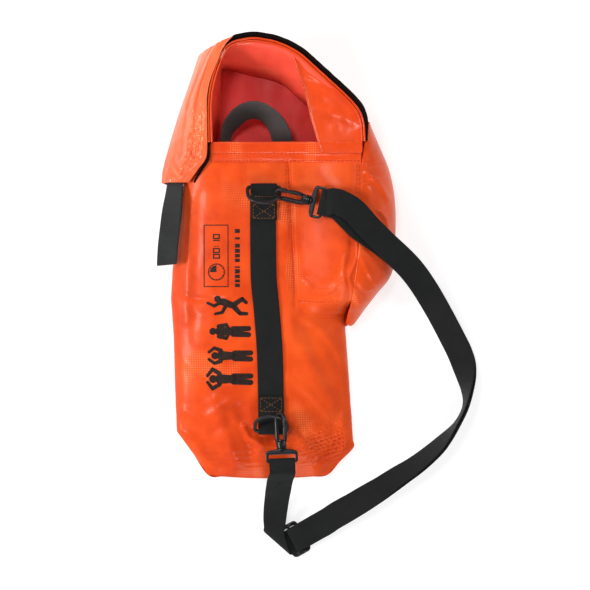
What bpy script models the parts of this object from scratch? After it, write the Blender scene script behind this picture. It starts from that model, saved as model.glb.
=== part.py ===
"""Carrying bag of an emergency escape breathing set, lying on its back, opened and empty.

All shapes are worked out in millimetres (constants and control points below) and
written in metres.  +X is the side with the hood compartment, +Y the mouth of the
bag, +Z out of the front panel.  Origin: bottom centre of the bag.
"""
import bpy
import bmesh
import math
import numpy as np
from mathutils import Vector, Matrix

for o in list(bpy.data.objects):
    bpy.data.objects.remove(o, do_unlink=True)

MM = 0.001
FABRIC = 1.2          # coated fabric, doubled at the edges
WEB_W = 28.6          # webbing width
WEB_T = 1.6           # webbing thickness
GAP = 0.35            # clearance kept between touching pieces
RING_R = 1.9          # D-ring wire radius
RING_HALF = 17.8      # D-ring centre line half width (30 mm webbing)
RING_DEEP = 23.0      # D-ring bar to bow
ROD_R = 2.4           # snap hook rod radius
HOOK_Y = 7.4          # snap hook bight, centre line half width
PIPING_R = 2.2
CENTRE_X = -1.29      # centre of the bag in the coordinates used below
CENTRE_Y = 1.89

# ---------------------------------------------------------------- collections
main = bpy.data.collections.new("escape_set_carrying_bag")
tools = bpy.data.collections.new("cutters")
bpy.context.scene.collection.children.link(main)
bpy.context.scene.collection.children.link(tools)


def material(name, rgb, rough, metal=0.0):
    m = bpy.data.materials.new(name)
    m.use_nodes = True
    b = m.node_tree.nodes["Principled BSDF"]
    b.inputs["Base Color"].default_value = (*rgb, 1)
    b.inputs["Roughness"].default_value = rough
    b.inputs["Metallic"].default_value = metal
    m.diffuse_color = (*rgb, 1)
    return m


ORANGE = (0.85, 0.10, 0.02)
LINING = (0.62, 0.04, 0.035)
BLACK = (0.03, 0.03, 0.032)
ACETAL = (0.018, 0.018, 0.02)


def place(ob, coll=main):
    for c in list(ob.users_collection):
        c.objects.unlink(ob)
    coll.objects.link(ob)
    return ob


# ------------------------------------------------------------ maths of shapes
def table(rows, x):
    """Smooth value of a control table [(x, value)...] at x (cubic Hermite)."""
    xs = [r[0] for r in rows]
    ys = [r[1] for r in rows]
    if x <= xs[0]:
        return ys[0]
    if x >= xs[-1]:
        return ys[-1]
    i = max(k for k in range(len(xs) - 1) if xs[k] <= x)
    h = xs[i + 1] - xs[i]
    d = [(ys[k + 1] - ys[k]) / (xs[k + 1] - xs[k]) for k in range(len(xs) - 1)]

    def slope(k):
        if k == 0:
            return d[0]
        if k == len(xs) - 1:
            return d[-1]
        if d[k - 1] * d[k] <= 0:
            return 0.0
        return 2 * d[k - 1] * d[k] / (d[k - 1] + d[k])

    t = (x - xs[i]) / h
    m0, m1 = slope(i), slope(i + 1)
    return ((2 * t**3 - 3 * t**2 + 1) * ys[i] + (t**3 - 2 * t**2 + t) * h * m0
            + (-2 * t**3 + 3 * t**2) * ys[i + 1] + (t**3 - t**2) * h * m1)


def track(points, n, power=0.5):
    """n points at equal distances along a smooth curve through the points."""
    P = [np.array(p, float) for p in points]
    P = [2 * P[0] - P[1]] + P + [2 * P[-1] - P[-2]]
    out = []
    for i in range(1, len(P) - 2):
        p0, p1, p2, p3 = P[i - 1], P[i], P[i + 1], P[i + 2]
        t0 = 0.0
        t1 = t0 + max(np.linalg.norm(p1 - p0), 1e-6) ** power
        t2 = t1 + max(np.linalg.norm(p2 - p1), 1e-6) ** power
        t3 = t2 + max(np.linalg.norm(p3 - p2), 1e-6) ** power
        for t in np.linspace(t1, t2, 24, endpoint=False):
            a1 = (t1 - t) / (t1 - t0) * p0 + (t - t0) / (t1 - t0) * p1
            a2 = (t2 - t) / (t2 - t1) * p1 + (t - t1) / (t2 - t1) * p2
            a3 = (t3 - t) / (t3 - t2) * p2 + (t - t2) / (t3 - t2) * p3
            b1 = (t2 - t) / (t2 - t0) * a1 + (t - t0) / (t2 - t0) * a2
            b2 = (t3 - t) / (t3 - t1) * a2 + (t - t1) / (t3 - t1) * a3
            out.append((t2 - t) / (t2 - t1) * b1 + (t - t1) / (t2 - t1) * b2)
    out.append(P[-2])
    out = np.array(out)
    s = np.r_[0, np.cumsum(np.linalg.norm(np.diff(out[:, :3], axis=0), axis=1))]
    want = np.linspace(0, s[-1], n)
    return np.array([[np.interp(w, s, out[:, k]) for k in range(out.shape[1])] for w in want])


def step(t):
    t = min(1.0, max(0.0, t))
    return t * t * (3 - 2 * t)


# --------------------------------------------------------------- mesh makers
def finish(ob, name, rgb, rough, metal=0.0, angle=40):
    ob.name = name
    ob.data.name = name
    ob.data.materials.clear()
    ob.data.materials.append(material(name, rgb, rough, metal))
    ob.data.shade_smooth()
    ob.data.set_sharp_from_angle(angle=math.radians(angle))
    return place(ob)


def sheet(name, nu, nv, fn, rgb, rough=0.45, thick=FABRIC, offset=0.0):
    """A grid bent to fn(u, v) in mm, given its thickness by Solidify."""
    bpy.ops.mesh.primitive_grid_add(x_subdivisions=nu, y_subdivisions=nv, size=2)
    ob = bpy.context.object
    for v in ob.data.vertices:
        p = fn((v.co.x + 1) / 2, (v.co.y + 1) / 2)
        v.co = Vector(p) * MM
    mod = ob.modifiers.new("thickness", "SOLIDIFY")
    mod.thickness = thick * MM
    mod.offset = offset
    mod.use_even_offset = False
    return finish(ob, name, rgb, rough)


def rows(a, b, ease=None):
    """fn(u, v) ruled between two tracks: v runs along, u from a to b."""
    def fn(u, v):
        k = v * (len(a) - 1)
        i = int(min(k, len(a) - 2))
        f = k - i
        pa = a[i] * (1 - f) + a[i + 1] * f
        pb = b[i] * (1 - f) + b[i + 1] * f
        w = ease(u) if ease else u
        return pa[:3] * (1 - w) + pb[:3] * w
    return fn


def ribbon(name, centre, side, n, rgb=BLACK, width=WEB_W, thick=WEB_T, nu=2):
    """Webbing along the centre points; side gives its width direction at each."""
    c = np.array(centre)
    s = np.array(side)

    def fn(u, v):
        i = int(round(v * (n - 1)))
        return c[i] + s[i] * (u - 0.5) * width
    return sheet(name, nu, n - 1, fn, rgb, 0.7, thick)


def tube(name, pts, r, rgb, rough=0.4, cyclic=False, res=2, metal=0.0):
    cu = bpy.data.curves.new(name, "CURVE")
    cu.dimensions = "3D"
    cu.bevel_depth = r * MM
    cu.bevel_resolution = res
    cu.use_fill_caps = not cyclic
    sp = cu.splines.new("POLY")
    sp.points.add(len(pts) - 1)
    for p, q in zip(sp.points, pts):
        p.co = (q[0] * MM, q[1] * MM, q[2] * MM, 1)
    sp.use_cyclic_u = cyclic
    ob = bpy.data.objects.new(name, cu)
    main.objects.link(ob)
    dg = bpy.context.evaluated_depsgraph_get()
    me = bpy.data.meshes.new_from_object(ob.evaluated_get(dg))
    bm = bmesh.new()
    bm.from_mesh(me)
    bmesh.ops.remove_doubles(bm, verts=bm.verts, dist=1e-6)
    bmesh.ops.recalc_face_normals(bm, faces=bm.faces)
    bm.to_mesh(me)
    bm.free()
    mo = bpy.data.objects.new(name, me)
    mo.matrix_world = ob.matrix_world
    bpy.data.objects.remove(ob)
    main.objects.link(mo)
    return finish(mo, name, rgb, rough, metal)


def outline(name, loops, half):
    """A flat plate from closed outlines (the later ones are holes)."""
    cu = bpy.data.curves.new(name, "CURVE")
    cu.dimensions = "2D"
    cu.fill_mode = "BOTH"
    cu.extrude = half * MM
    for loop in loops:
        sp = cu.splines.new("POLY")
        sp.points.add(len(loop) - 1)
        for p, q in zip(sp.points, loop):
            p.co = (q[0] * MM, q[1] * MM, 0, 1)
        sp.use_cyclic_u = True
    ob = bpy.data.objects.new(name, cu)
    main.objects.link(ob)
    dg = bpy.context.evaluated_depsgraph_get()
    me = bpy.data.meshes.new_from_object(ob.evaluated_get(dg))
    bpy.data.objects.remove(ob)
    bm = bmesh.new()
    bm.from_mesh(me)
    bmesh.ops.remove_doubles(bm, verts=bm.verts, dist=1e-6)
    bmesh.ops.recalc_face_normals(bm, faces=bm.faces)
    bm.to_mesh(me)
    bm.free()
    mo = bpy.data.objects.new(name, me)
    main.objects.link(mo)
    return mo


def rounded(x0, x1, y0, y1, r, n=4):
    pts = []
    for cx, cy, a0 in ((x1 - r, y1 - r, 0), (x0 + r, y1 - r, 90), (x0 + r, y0 + r, 180), (x1 - r, y0 + r, 270)):
        for k in range(n + 1):
            a = math.radians(a0 + 90 * k / n)
            pts.append((cx + r * math.cos(a), cy + r * math.sin(a)))
    return pts


def cylinder(name, r, x0, x1, n=20):
    """Cylinder along X from x0 to x1."""
    bpy.ops.mesh.primitive_cylinder_add(vertices=n, radius=r * MM, depth=(x1 - x0) * MM,
                                        location=((x0 + x1) / 2 * MM, 0, 0), rotation=(0, math.pi / 2, 0))
    ob = bpy.context.object
    ob.name = name
    bpy.ops.object.transform_apply(location=True, rotation=True, scale=True)
    return ob


def combine(a, b, how):
    mod = a.modifiers.new("join", "BOOLEAN")
    mod.operation = how
    mod.object = b
    mod.solver = "EXACT"
    dg = bpy.context.evaluated_depsgraph_get()
    me = bpy.data.meshes.new_from_object(a.evaluated_get(dg))
    a.modifiers.clear()
    a.data = me
    bpy.data.objects.remove(b, do_unlink=True)
    return a


def put(ob, frame, pivot_local):
    """Moves a piece built in its local frame (mm about 0) to the frame, origin at pivot."""
    T = Matrix.Translation(Vector(pivot_local) * -MM)
    ob.data.transform(T)
    ob.matrix_world = frame @ Matrix.Translation(Vector(pivot_local) * MM)
    return ob


def frame_of(origin, x, y):
    x = Vector(x).normalized()
    z = x.cross(Vector(y)).normalized()
    y = z.cross(x)
    m = Matrix((x, y, z)).transposed().to_4x4()
    m.translation = Vector(origin) * MM
    return m


# ================================================================= bag shell
LEFT = [(-246, -80), (-243, -80), (-193, -115.5), (-141, -117.5), (-85, -119), (-43, -122), (-10, -120),
        (30, -116), (67, -111), (95, -98), (116, -84), (129, -77)]
RIGHT = [(-246, 53), (-243, 53), (-212, 83), (-203, 82.6), (-141, 79.3), (-74, 75), (0, 78), (129, 92)]
CROWN = [(-246, 7), (-225, 17), (-200, 25), (-160, 31), (-120, 36), (-60, 41), (0, 45), (80, 49.5), (129, 56)]
EDGE = [(-246, 6), (-200, 8), (0, 10), (60, 13), (95, 30), (116, 48), (129, 54)]
SEAM = [(-60, 19.5), (160, 9)]
Y_HEM0, Y_HEM1 = 106.5, 128.5
BOX_BOTTOM = -46.0


def side(tab, y):
    xs = [r[0] for r in tab]
    return float(np.interp(y, xs, [r[1] for r in tab]))


def main_z(x, y):
    xl, xr = side(LEFT, y), side(RIGHT, y)
    u = min(1.0, max(0.0, (x - xl) / (xr - xl)))
    e = table(EDGE, y)
    return e + (table(CROWN, y) - e) * (1 - abs(2 * u - 1) ** 2.6) ** 0.5


def spread(t):
    return 0.5 - 0.5 * math.cos(math.pi * t)


def front(u, v):
    y = -246 + v * (128.5 + 246)
    xl, xr = side(LEFT, y), side(RIGHT, y)
    x = xl + (xr - xl) * spread(u)
    z = main_z(x, y)
    lift = 3.2 * (1 - (2 * spread(u) - 1) ** 2) * (1 - v) ** 8
    return (x, y + 3.2 * (1 - v) ** 8 - lift, z)


front_panel = sheet("front_panel", 14, 20, front, ORANGE)
# the front panel is cut away where the side compartment is sewn in
bpy.ops.mesh.primitive_cube_add(size=2)
cut = bpy.context.object
for v in cut.data.vertices:
    y = BOX_BOTTOM - 4 if v.co.y < 0 else 160
    x = table(SEAM, y) + 0.6 if v.co.x < 0 else 160
    v.co = (x * MM, y * MM, (-20 if v.co.z < 0 else 120) * MM)
cut.name = "compartment_cut"
cut.hide_render = True
cut.display_type = "WIRE"
place(cut, tools)
bm_ = front_panel.modifiers.new("compartment", "BOOLEAN")
bm_.operation = "DIFFERENCE"
bm_.object = cut
bm_.solver = "EXACT"

# back panel: flat on the ground
BACK_L = [(-241, -80), (-193, -113), (-141, -115), (-85, -116.5), (-43, -119.5), (-10, -117.5), (30, -113),
          (67, -108), (95, -95), (116, -81), (131, -74), (218, -65.6)]
BACK_R = [(-241, 51), (-211, 81), (-203, 80.5), (-141, 77), (-76, 73), (-70, 82), (-53, 101), (-37, 111),
          (-13, 125.5), (36, 127.5), (71, 125.5), (100, 119), (118, 110), (127, 100), (131, 88), (140, 73),
          (158, 50), (181, 24.7), (198.7, 5), (204.5, -10), (211, -38), (218, -62)]


def back(u, v):
    y = -241 + v * (217.5 + 241)
    xl, xr = side(BACK_L, y), side(BACK_R, y)
    return (xl + (xr - xl) * u, y, 0.6)


sheet("back_panel", 3, 34, back, LINING)

# side walls of the main body
WALL_Z0 = 1.2 + GAP


def wall(name, tab, ys, inset, rgb=ORANGE, drop=1.1):
    top = np.array([[side(tab, y) + inset, y, table(EDGE, y) - drop] for y in ys])
    low = np.array([[side(tab, y) + inset * 2.2, y, WALL_Z0] for y in ys])
    return sheet(name, 2, len(ys) - 1, rows(low, top), rgb)


wall("left_gusset", LEFT, np.linspace(-191, 127, 20), 1.3, drop=2.0)
wall("right_gusset", RIGHT, np.linspace(-201, -78, 10), -0.8)
bl = track([(-112.6, -194, 0), (-80, -240.5, 0), (-60, -241.8, 0), (-14, -243, 0), (30, -241.8, 0), (50, -240.5, 0),
            (80.6, -211.5, 0), (81, -204, 0)], 22, 0.0)
sheet("bottom_gusset", 2, 21, rows(bl + [0, 0, WALL_Z0], bl + [0, 0, 4.6]), ORANGE)

# side compartment for the hood, a box sewn to the front
PLATEAU = [(-60, 44), (-44, 50), (-25, 58), (30, 62.5), (80, 61.5), (112, 57.5), (129, 58)]
B_SEAM = [(-74, 75), (-44, 80), (0, 86), (40, 89), (86, 90.5), (108, 91), (140, 92)]


def comp_z(x, y):
    xs, xb = table(SEAM, y), table(B_SEAM, y)
    z0 = main_z(xs, y) + 1.0
    p = table(PLATEAU, y)
    z = z0 + (p - z0) * step((x - xs) / 60.0)
    return z - 2.5 * step((x - xb + 14) / 14.0)


def comp(u, v):
    y = BOX_BOTTOM + v * (106 - BOX_BOTTOM)
    a, b = table(SEAM, y) + 2.2, table(B_SEAM, y) - 1.0
    x = a + (b - a) * u
    return (x, y, comp_z(x, y))


sheet("compartment_front", 9, 16, comp, ORANGE)

SIL = [(76.5, -74.5, 9), (86, -74, 10), (104, -54.8, 12), (114, -39, 13), (129, -14.2, 14), (131, 36, 14),
       (129, 71, 14), (123, 100, 14), (112, 127, 14)]
SEAM3 = [(75.5, -73, 13), (77, -62, 33), (80, -46, 47), (86, 0, 59.5), (89, 40, 61), (90.5, 86, 60), (91, 108, 56.5),
         (92.5, 119, 57), (93.5, 125, 58)]
NS = 18
sil = track(SIL, NS, 0.0)
seam3 = track(SEAM3, NS, 0.0)


def comp_side(u, v):
    i = int(round(v * (NS - 1)))
    b, s = seam3[i] + [0.8, 0, 0], sil[i]
    if u <= 0.78:
        t = math.sin(u / 0.778 * math.pi / 2) if u < 0.777 else 1.0
        z = s[2] + (b[2] - s[2]) * (1 - t ** 2.2) ** 0.6
        return (b[0] + (s[0] - b[0]) * t, b[1] + (s[1] - b[1]) * t, z)
    t = (u - 0.778) / 0.222
    c = np.array([60, 40, 0.0])
    d = (s - c) * [1, 1, 0]
    d = d / np.linalg.norm(d)
    return (s[0] - 2.5 * t * d[0], s[1] - 2.5 * t * d[1], s[2] + (WALL_Z0 - s[2]) * t)


sheet("compartment_gusset", 9, NS - 1, comp_side, ORANGE)


def comp_end(u, v):
    x = 21.0 + u * (67.0 - 21.0)
    top = comp_z(min(x, 78), BOX_BOTTOM)
    low = max(main_z(x, -58), main_z(x - 4, -58), main_z(x, -54)) + 1.7
    y = BOX_BOTTOM - 0.9 - v * 11.0
    t = step(v)
    return (x, y, top * (1 - t) + low * t)


sheet("compartment_bottom", 8, 4, lambda u, v: comp_end(u, 1 - v), ORANGE)


# hem of the mouth
def hem_z(x):
    return table([(-75, 56.2), (-55, 58.5), (-10, 59.3), (20, 59.6), (45, 60.4), (89, 60.6)], x)


def hem(u, v):
    x0, x1 = -74.5, 89.5
    x = x0 + (x1 - x0) * u
    y = Y_HEM0 + (Y_HEM1 - Y_HEM0) * v
    base = max(main_z(x, min(y, 128.5)), comp_z(x, y) if x > table(SEAM, y) else 0)
    return (x, y, max(base + 1.7, hem_z(x) * v + (1 - v) * (base + 1.7)))


sheet("mouth_hem", 14, 3, hem, ORANGE)

# inner wall of the mouth, from the back panel up to the rim
FOOT = [(-73, 132.5), (-70, 165), (-67, 195), (-64, 215), (-50, 213), (-38, 209.5), (-10, 203), (5, 197), (24.7, 179.5),
        (50, 156.5), (75, 138), (86, 132)]
RIM = [(-74.5, 132, 60.5), (-75, 152, 62.5), (-75, 178, 63.5), (-71.5, 196, 64), (-63, 220, 64), (-54, 233, 64),
       (-37.5, 239, 64), (-19, 239, 64), (1, 234.5, 64), (18.5, 225.5, 64), (47, 200.5, 64), (72, 177.5, 63.5),
       (86.5, 161, 63), (91, 147, 62.5), (92, 134, 61.5)]
N = 40
rim = track(RIM, N)
foot = track([(x, y, 0) for x, y in FOOT], N)
tan = np.gradient(rim, axis=0)
nrm = np.stack([tan[:, 1], -tan[:, 0], 0 * tan[:, 0]], 1)
nrm /= np.linalg.norm(nrm, axis=1)[:, None]
nrm = -nrm                      # outward in plan


def lifted(d, z):
    p = rim + nrm * d
    p[:, 2] = z
    return p


inner_top = rim - nrm * 1.0
inner_top[:, 2] = rim[:, 2] - 3.2
foot_in = foot.copy()
foot_in[:, 2] = WALL_Z0 + 0.2
sheet("top_gusset", 3, N - 1, rows(foot_in, inner_top), LINING)
tube("rim_piping", rim, PIPING_R, ORANGE, res=1)

# cover fabric peeled back outside the rim, with its hook tape
K0 = next(i for i in range(N) if rim[i][0] > -46)
tape_in = (rim + nrm * 3.6)[K0:]
tape_in[:, 2] = 51
tape_out = (rim + nrm * 7.8)[K0:]
tape_out[:, 2] = 68
sheet("cover_hook_tape", 1, len(tape_in) - 1, rows(tape_in, tape_out), BLACK, 0.8, 1.4)
band_top = (rim + nrm * 9.8)[K0:]
band_top[:, 2] = 69
band_mid = (rim + nrm * 6.0)[K0:]
band_mid[:, 2] = 48
fo = foot[K0:]
band_low = fo + (band_mid - fo) * 0.25
band_low[:, 2] = WALL_Z0 + 0.2
for i in range(len(band_low)):      # the cover runs on into the side compartment
    k = step((i - len(band_low) + 8) / 8.0)
    band_low[i][:2] += k * np.array([12.0, -3.0])
    band_low[i][2] += 6 * k


def band(u, v):
    if u < 0.5:
        return rows(band_low, band_mid)(u * 2, v)
    return rows(band_mid, band_top)(u * 2 - 1, v)


sheet("cover_band", 4, len(band_top) - 1, band, ORANGE)


# panel that closes the hood compartment beside the mouth
PANEL_L = [(45, 119, 62.6), (36, 148, 61.2), (29, 177, 60.5), (22.5, 200, 60.2), (18.5, 214, 60.4)]
PANEL_R = [(88.5, 119, 62.6), (87.5, 140, 60.5), (83, 156.5, 60.2), (62, 180, 60.2), (33, 206.5, 60.4)]
pl, pr = track(PANEL_L, 14), track(PANEL_R, 14)


def hood(u, v):
    p = np.array(rows(pl, pr)(u, v))
    p[2] -= 5.0 * math.sin(math.pi * u) * math.sin(math.pi * min(1.0, max(0.0, v - 0.27) / 0.7))
    if p[1] < 134.5:
        p[2] = max(p[2], 62.6)
    return p


sheet("hood_pocket_panel", 8, 13, hood, ORANGE)

# ---------------------------------------------------------- webbing on the bag
SPINE = [(72, -17.4), (41, -18), (-16, -17.5), (-57, -14), (-111, -10.3), (-153, -9.5), (-185, -9.4)]


def strap_on_front(name, y0, y1, n, lift):
    ys = np.linspace(y0, y1, n)
    c = [(table([(-y, x) for y, x in SPINE], -y), y, 0) for y in ys]
    c = np.array([[x, y, max(main_z(x + d, y) for d in (-15, 0, 15)) + lift] for x, y, _ in c])
    return ribbon(name, c[::-1], [[1, 0, 0]] * n, n)


strap_on_front("spine_webbing", 71.5, -184.5, 22, FABRIC / 2 + GAP + WEB_T / 2)

UP_BAR = (-17.0, 79.0)
LO_BAR = (-9.3, -191.4)
UP_Z = max(main_z(-17 + d, 79) for d in (-15, 0, 15)) + 6.3
LO_Z = max(main_z(-9.3 + d, -185) for d in (-15, 0, 15)) + 6.3


def ring_tab(name, bar, z, sgn, length=27):
    """Webbing end folded round the ring's bar; sgn -1: legs run to -Y."""
    x0, y0 = bar
    R = RING_R + 0.45 + WEB_T / 2
    flat = max(main_z(x0 + d, y0 + sgn * length) for d in (-15, 0, 15)) + FABRIC / 2 + GAP * 2 + WEB_T * 1.5
    flat = max(flat, max(main_z(x0 + d, y0 + sgn * 14) for d in (-15, 0, 15)) + FABRIC / 2 + GAP * 2 + WEB_T * 1.5)
    pts = []
    for k in range(7):
        t = k / 6
        pts.append((x0, y0 + sgn * (length - t * (length - 12)), flat))
    for k in range(1, 5):
        t = step(k / 5)
        pts.append((x0, y0 + sgn * (12 - 12 * k / 5), flat + (z + R - flat) * t))
    for k in range(9):
        a = math.pi * k / 8
        pts.append((x0, y0 - sgn * R * math.sin(a), z + R * math.cos(a)))
    pts.append((x0, y0 + sgn * 2.0, z - R))
    pts.append((x0, y0 + sgn * 4.2, z - R))
    return ribbon(name, pts, [[-sgn, 0, 0]] * len(pts), len(pts))


ring_tab("upper_ring_tab", UP_BAR, UP_Z, -1, 35)
ring_tab("lower_ring_tab", LO_BAR, LO_Z, +1, 36.5)

# loop of webbing inside the main compartment, sewn flat to the back panel at both ends
LOOP = [(-60, 84, 2.6, 1, 0, 0), (-60, 98, 3.5, 1, 0, 0), (-60, 116, 14, 1, 0, 0.1), (-58, 134, 26, 0.9, 0.1, -0.5),
        (-49, 149, 31, 0.55, -0.45, -0.7), (-36, 158, 33, 0.1, -0.7, -0.7), (-22, 161, 33, -0.15, -0.7, -0.7),
        (-9, 155, 31, -0.6, -0.45, -0.65), (-1, 141, 27, -0.9, -0.1, -0.4), (2, 122, 18, -1, 0, -0.1),
        (2, 104, 6, -1, 0, 0), (2, 90, 2.6, -1, 0, 0), (2, 78, 2.6, -1, 0, 0)]
lp = track(LOOP, 34)
sd = lp[:, 3:6] / np.linalg.norm(lp[:, 3:6], axis=1)[:, None]
ribbon("inner_strap", lp[:, :3], sd, 34, width=25.0)


# ==================================================================== D-rings
def d_ring(name, bar, z, sgn, tilt):
    pts = []
    h, c = RING_HALF, 3.0
    for k in range(4):
        a = math.radians(-90 + 90 * k / 3)
        pts.append((h - c + c * math.cos(a), c + c * math.sin(a)))
    for k in range(15):
        a = math.pi * k / 14
        pts.append((h * math.cos(a), 8 + (RING_DEEP - 8) * math.sin(a)))
    for k in range(4):
        a = math.radians(180 + 90 * k / 3)
        pts.append((-h + c + c * math.cos(a), c + c * math.sin(a)))
    ob = tube(name, [(p[0], p[1], 0) for p in pts], RING_R, BLACK, 0.35, cyclic=True)
    F = frame_of((bar[0], bar[1], z), (sgn * 1.0, 0, 0), (0, sgn * math.cos(tilt), math.sin(tilt)))
    ob.matrix_world = F
    return ob


UP_TILT, LO_TILT = math.radians(37), math.radians(40)
d_ring("upper_d_ring", UP_BAR, UP_Z, -1, UP_TILT)
d_ring("lower_d_ring", LO_BAR, LO_Z, +1, LO_TILT)


# ================================================================= snap hooks
# local frame: x from the nose to the eye, y across the bight (+y the spine, -y the gate)
EYE0, EYE1 = 41.0, 55.0
PIVOT = (28.2, -7.1, 0)


def hook(prefix, F, E):
    pts = [(36.5, 3.9, 0), (33, 4.6, 0), (29.5, 6.9, 0), (25, HOOK_Y, 0), (19, HOOK_Y, 0), (13, HOOK_Y, 0)]
    for k in range(11):
        a = math.radians(90 + 180 * k / 10)
        pts.append((HOOK_Y + HOOK_Y * math.cos(a), HOOK_Y * math.sin(a), 0))
    pts += [(10.5, -HOOK_Y, 0), (13.2, -HOOK_Y, 0)]
    body = tube(prefix + "_hook_body", pts, ROD_R, ACETAL, 0.4)
    collar = cylinder("c", 5.2, 31.2, 38.5)
    body = combine(body, collar, "UNION")
    lug = cylinder("l", 1.9, -3.0, 3.0, 12)
    lug.matrix_world = Matrix.Translation((32.6 * MM, -5.6 * MM, 0)) @ Matrix.Rotation(math.radians(26), 4, "Z")
    body = combine(body, lug, "UNION")
    bore = cylinder("b", 2.45, 30, 40)
    body = combine(body, bore, "DIFFERENCE")
    finish(body, prefix + "_hook_body", ACETAL, 0.4)
    put(body, F, (34.85, 0, 0))
    gate = tube(prefix + "_hook_gate", [(14.4, -7.0, 0), (18, -7.1, 0), (23, -7.2, 0), (28.5, -7.1, 0)], 1.8, ACETAL, 0.4)
    put(gate, F, PIVOT)
    plate = outline("p", [rounded(EYE0, EYE1, -17.7, 17.7, 2.5), rounded(EYE0 + 4.4, EYE1 - 3.0, -14.8, 14.8, 1.0)], 1.5)
    neck = cylinder("n", 2.1, 28.6, EYE0 + 1.6)
    plate = combine(plate, neck, "UNION")
    boss = cylinder("m", 3.6, 38.9, EYE0 + 0.9)
    plate = combine(plate, boss, "UNION")
    head = cylinder("h", 3.1, 28.6, 30.8)
    plate = combine(plate, head, "UNION")
    finish(plate, prefix + "_swivel_eye", ACETAL, 0.4)
    put(plate, E, (34.85, 0, 0))


def ring_point(bar, z, sgn, tilt, x, y):
    return np.array([bar[0] + x, bar[1] + sgn * math.cos(tilt) * y, z + math.sin(tilt) * y])


def unit(v):
    v = np.array(v, float)
    return v / np.linalg.norm(v)


U_AT = ring_point(UP_BAR, UP_Z, -1, UP_TILT, RING_HALF, 9.6)
U_DIR = unit((0.968, -0.225, 0.11))
U_UP = unit((0.07, 0.55, 0.79))
U_ORG = U_AT - U_DIR * (ROD_R + RING_R + GAP + 0.1)
FU = frame_of(U_ORG, U_DIR, -U_UP)
EU_Y = unit((0.2, 0.975, 0.0))
EU = frame_of(U_ORG, U_DIR, EU_Y)
hook("upper", FU, EU)

TH = math.acos(10.3 / RING_HALF)
L_AT = ring_point(LO_BAR, LO_Z, +1, LO_TILT, 10.3, 8 + (RING_DEEP - 8) * math.sin(TH))
L_DIR = unit((0.045, -0.998, 0.052))
L_UP = unit((0.62, 0.06, 0.78))
L_ORG = L_AT - L_DIR * (ROD_R + RING_R + GAP + 0.3)
FL = frame_of(L_ORG, L_DIR, -L_UP)
EL = frame_of(L_ORG, L_DIR, (1.0, 0.03, 0.03))
hook("lower", FL, EL)


def eye_loop(name, E, top, low, x_end):
    """Webbing folded round the eye's outer bar, in the eye's frame (z = eye normal)."""
    xb, R = EYE1 - 1.5, 1.5 + 0.5 + WEB_T / 2
    pts = [(x_end[0], 0, top * 1.0)]
    pts += [((x_end[0] + xb) / 2, 0, (top + R) / 2)]
    for k in range(9):
        a = math.pi * k / 8
        pts.append((xb - 0.9 - (R - 0.3) * math.sin(a), 0, R * math.cos(a)))
    pts += [((x_end[1] + xb) / 2, 0, (low - R) / 2), (x_end[1], 0, low)]
    W = [np.array(E @ (Vector(p) * MM)) / MM for p in pts]
    s = np.array(E.to_3x3() @ Vector((0, -1, 0)))
    ob = ribbon(name, W, [s] * len(W), len(W))
    return W


up_loop = eye_loop("upper_strap_loop", EU, 2.4, -2.4, (61.0, 61.0))
lo_loop = eye_loop("lower_strap_loop", EL, 2.4, -2.6, (61.0, 61.0))

# ============================================================= shoulder strap
# centre x, y; direction across (degrees); height of the inner and of the outer edge
STRAP = [(69.8, 59.6, 71, 71.4, 69.8), (81.6, 52.4, 57, 71.2, 68.6), (98.6, 34.0, 42, 69.4, 66.4),
         (117.6, 15.6, 44, 61.5, 56), (133.8, 1.3, 45, 48, 45), (147.3, -12.1, 38, 34, 34), (160.9, -29.9, 30, 22, 25),
         (175.9, -54.6, 26, 11, 20), (191.4, -82.8, 25, 5, 14), (204.2, -109.2, 20, 3.8, 13.5),
         (208.6, -128.2, 15, 3.8, 24), (209.5, -146.0, 2, 3.8, 31), (207.5, -163.9, -15, 3.8, 33),
         (198.5, -183.0, -38, 3.8, 33), (179.5, -206.6, -52, 3.8, 30), (152.7, -229.8, -56, 3.8, 27),
         (131.7, -243.8, -56, 4.6, 25), (98.4, -266.6, -58, 6.8, 21), (64.1, -287.0, -60, 8.4, 14)]
SL_C = np.array([17.4, -315.6, 0.0])         # slider centre
SL_D = unit((0.87, 0.50, 0.0))               # its travel, along the strap
SL_S = np.array([0.50, -0.87, 0.0])          # across, towards the outer edge


def strap_rows(rows_):
    out = []
    for x, y, a, zi, zo in rows_:
        dz = zo - zi
        flat = math.sqrt(max(1.0, WEB_W ** 2 - dz ** 2))
        d = np.array([math.cos(math.radians(a)) * flat, math.sin(math.radians(a)) * flat, dz]) / WEB_W
        out.append([x, y, (zi + zo) / 2, *d])
    return out


start = up_loop[0]
EU_S = np.array(EU.to_3x3() @ Vector((0, 1, 0)))
s_in = [list(start + U_DIR * GAP) + list(EU_S), list(start + U_DIR * (GAP + 5.0)) + list(EU_S)]
main_rows = s_in + strap_rows(STRAP)
# the outer edge of the curve stays on the same side of the webbing all the way
END = SL_C + SL_D * 40
main_rows.append([END[0], END[1], 9.6, *(unit(SL_S * 0.99 + np.array([0, 0, 0.12])))])
ms = track(main_rows, 64)
msd = ms[:, 3:6] / np.linalg.norm(ms[:, 3:6], axis=1)[:, None]
ribbon("shoulder_strap", ms[:, :3][::-1], msd[::-1], 64, nu=1)

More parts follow.
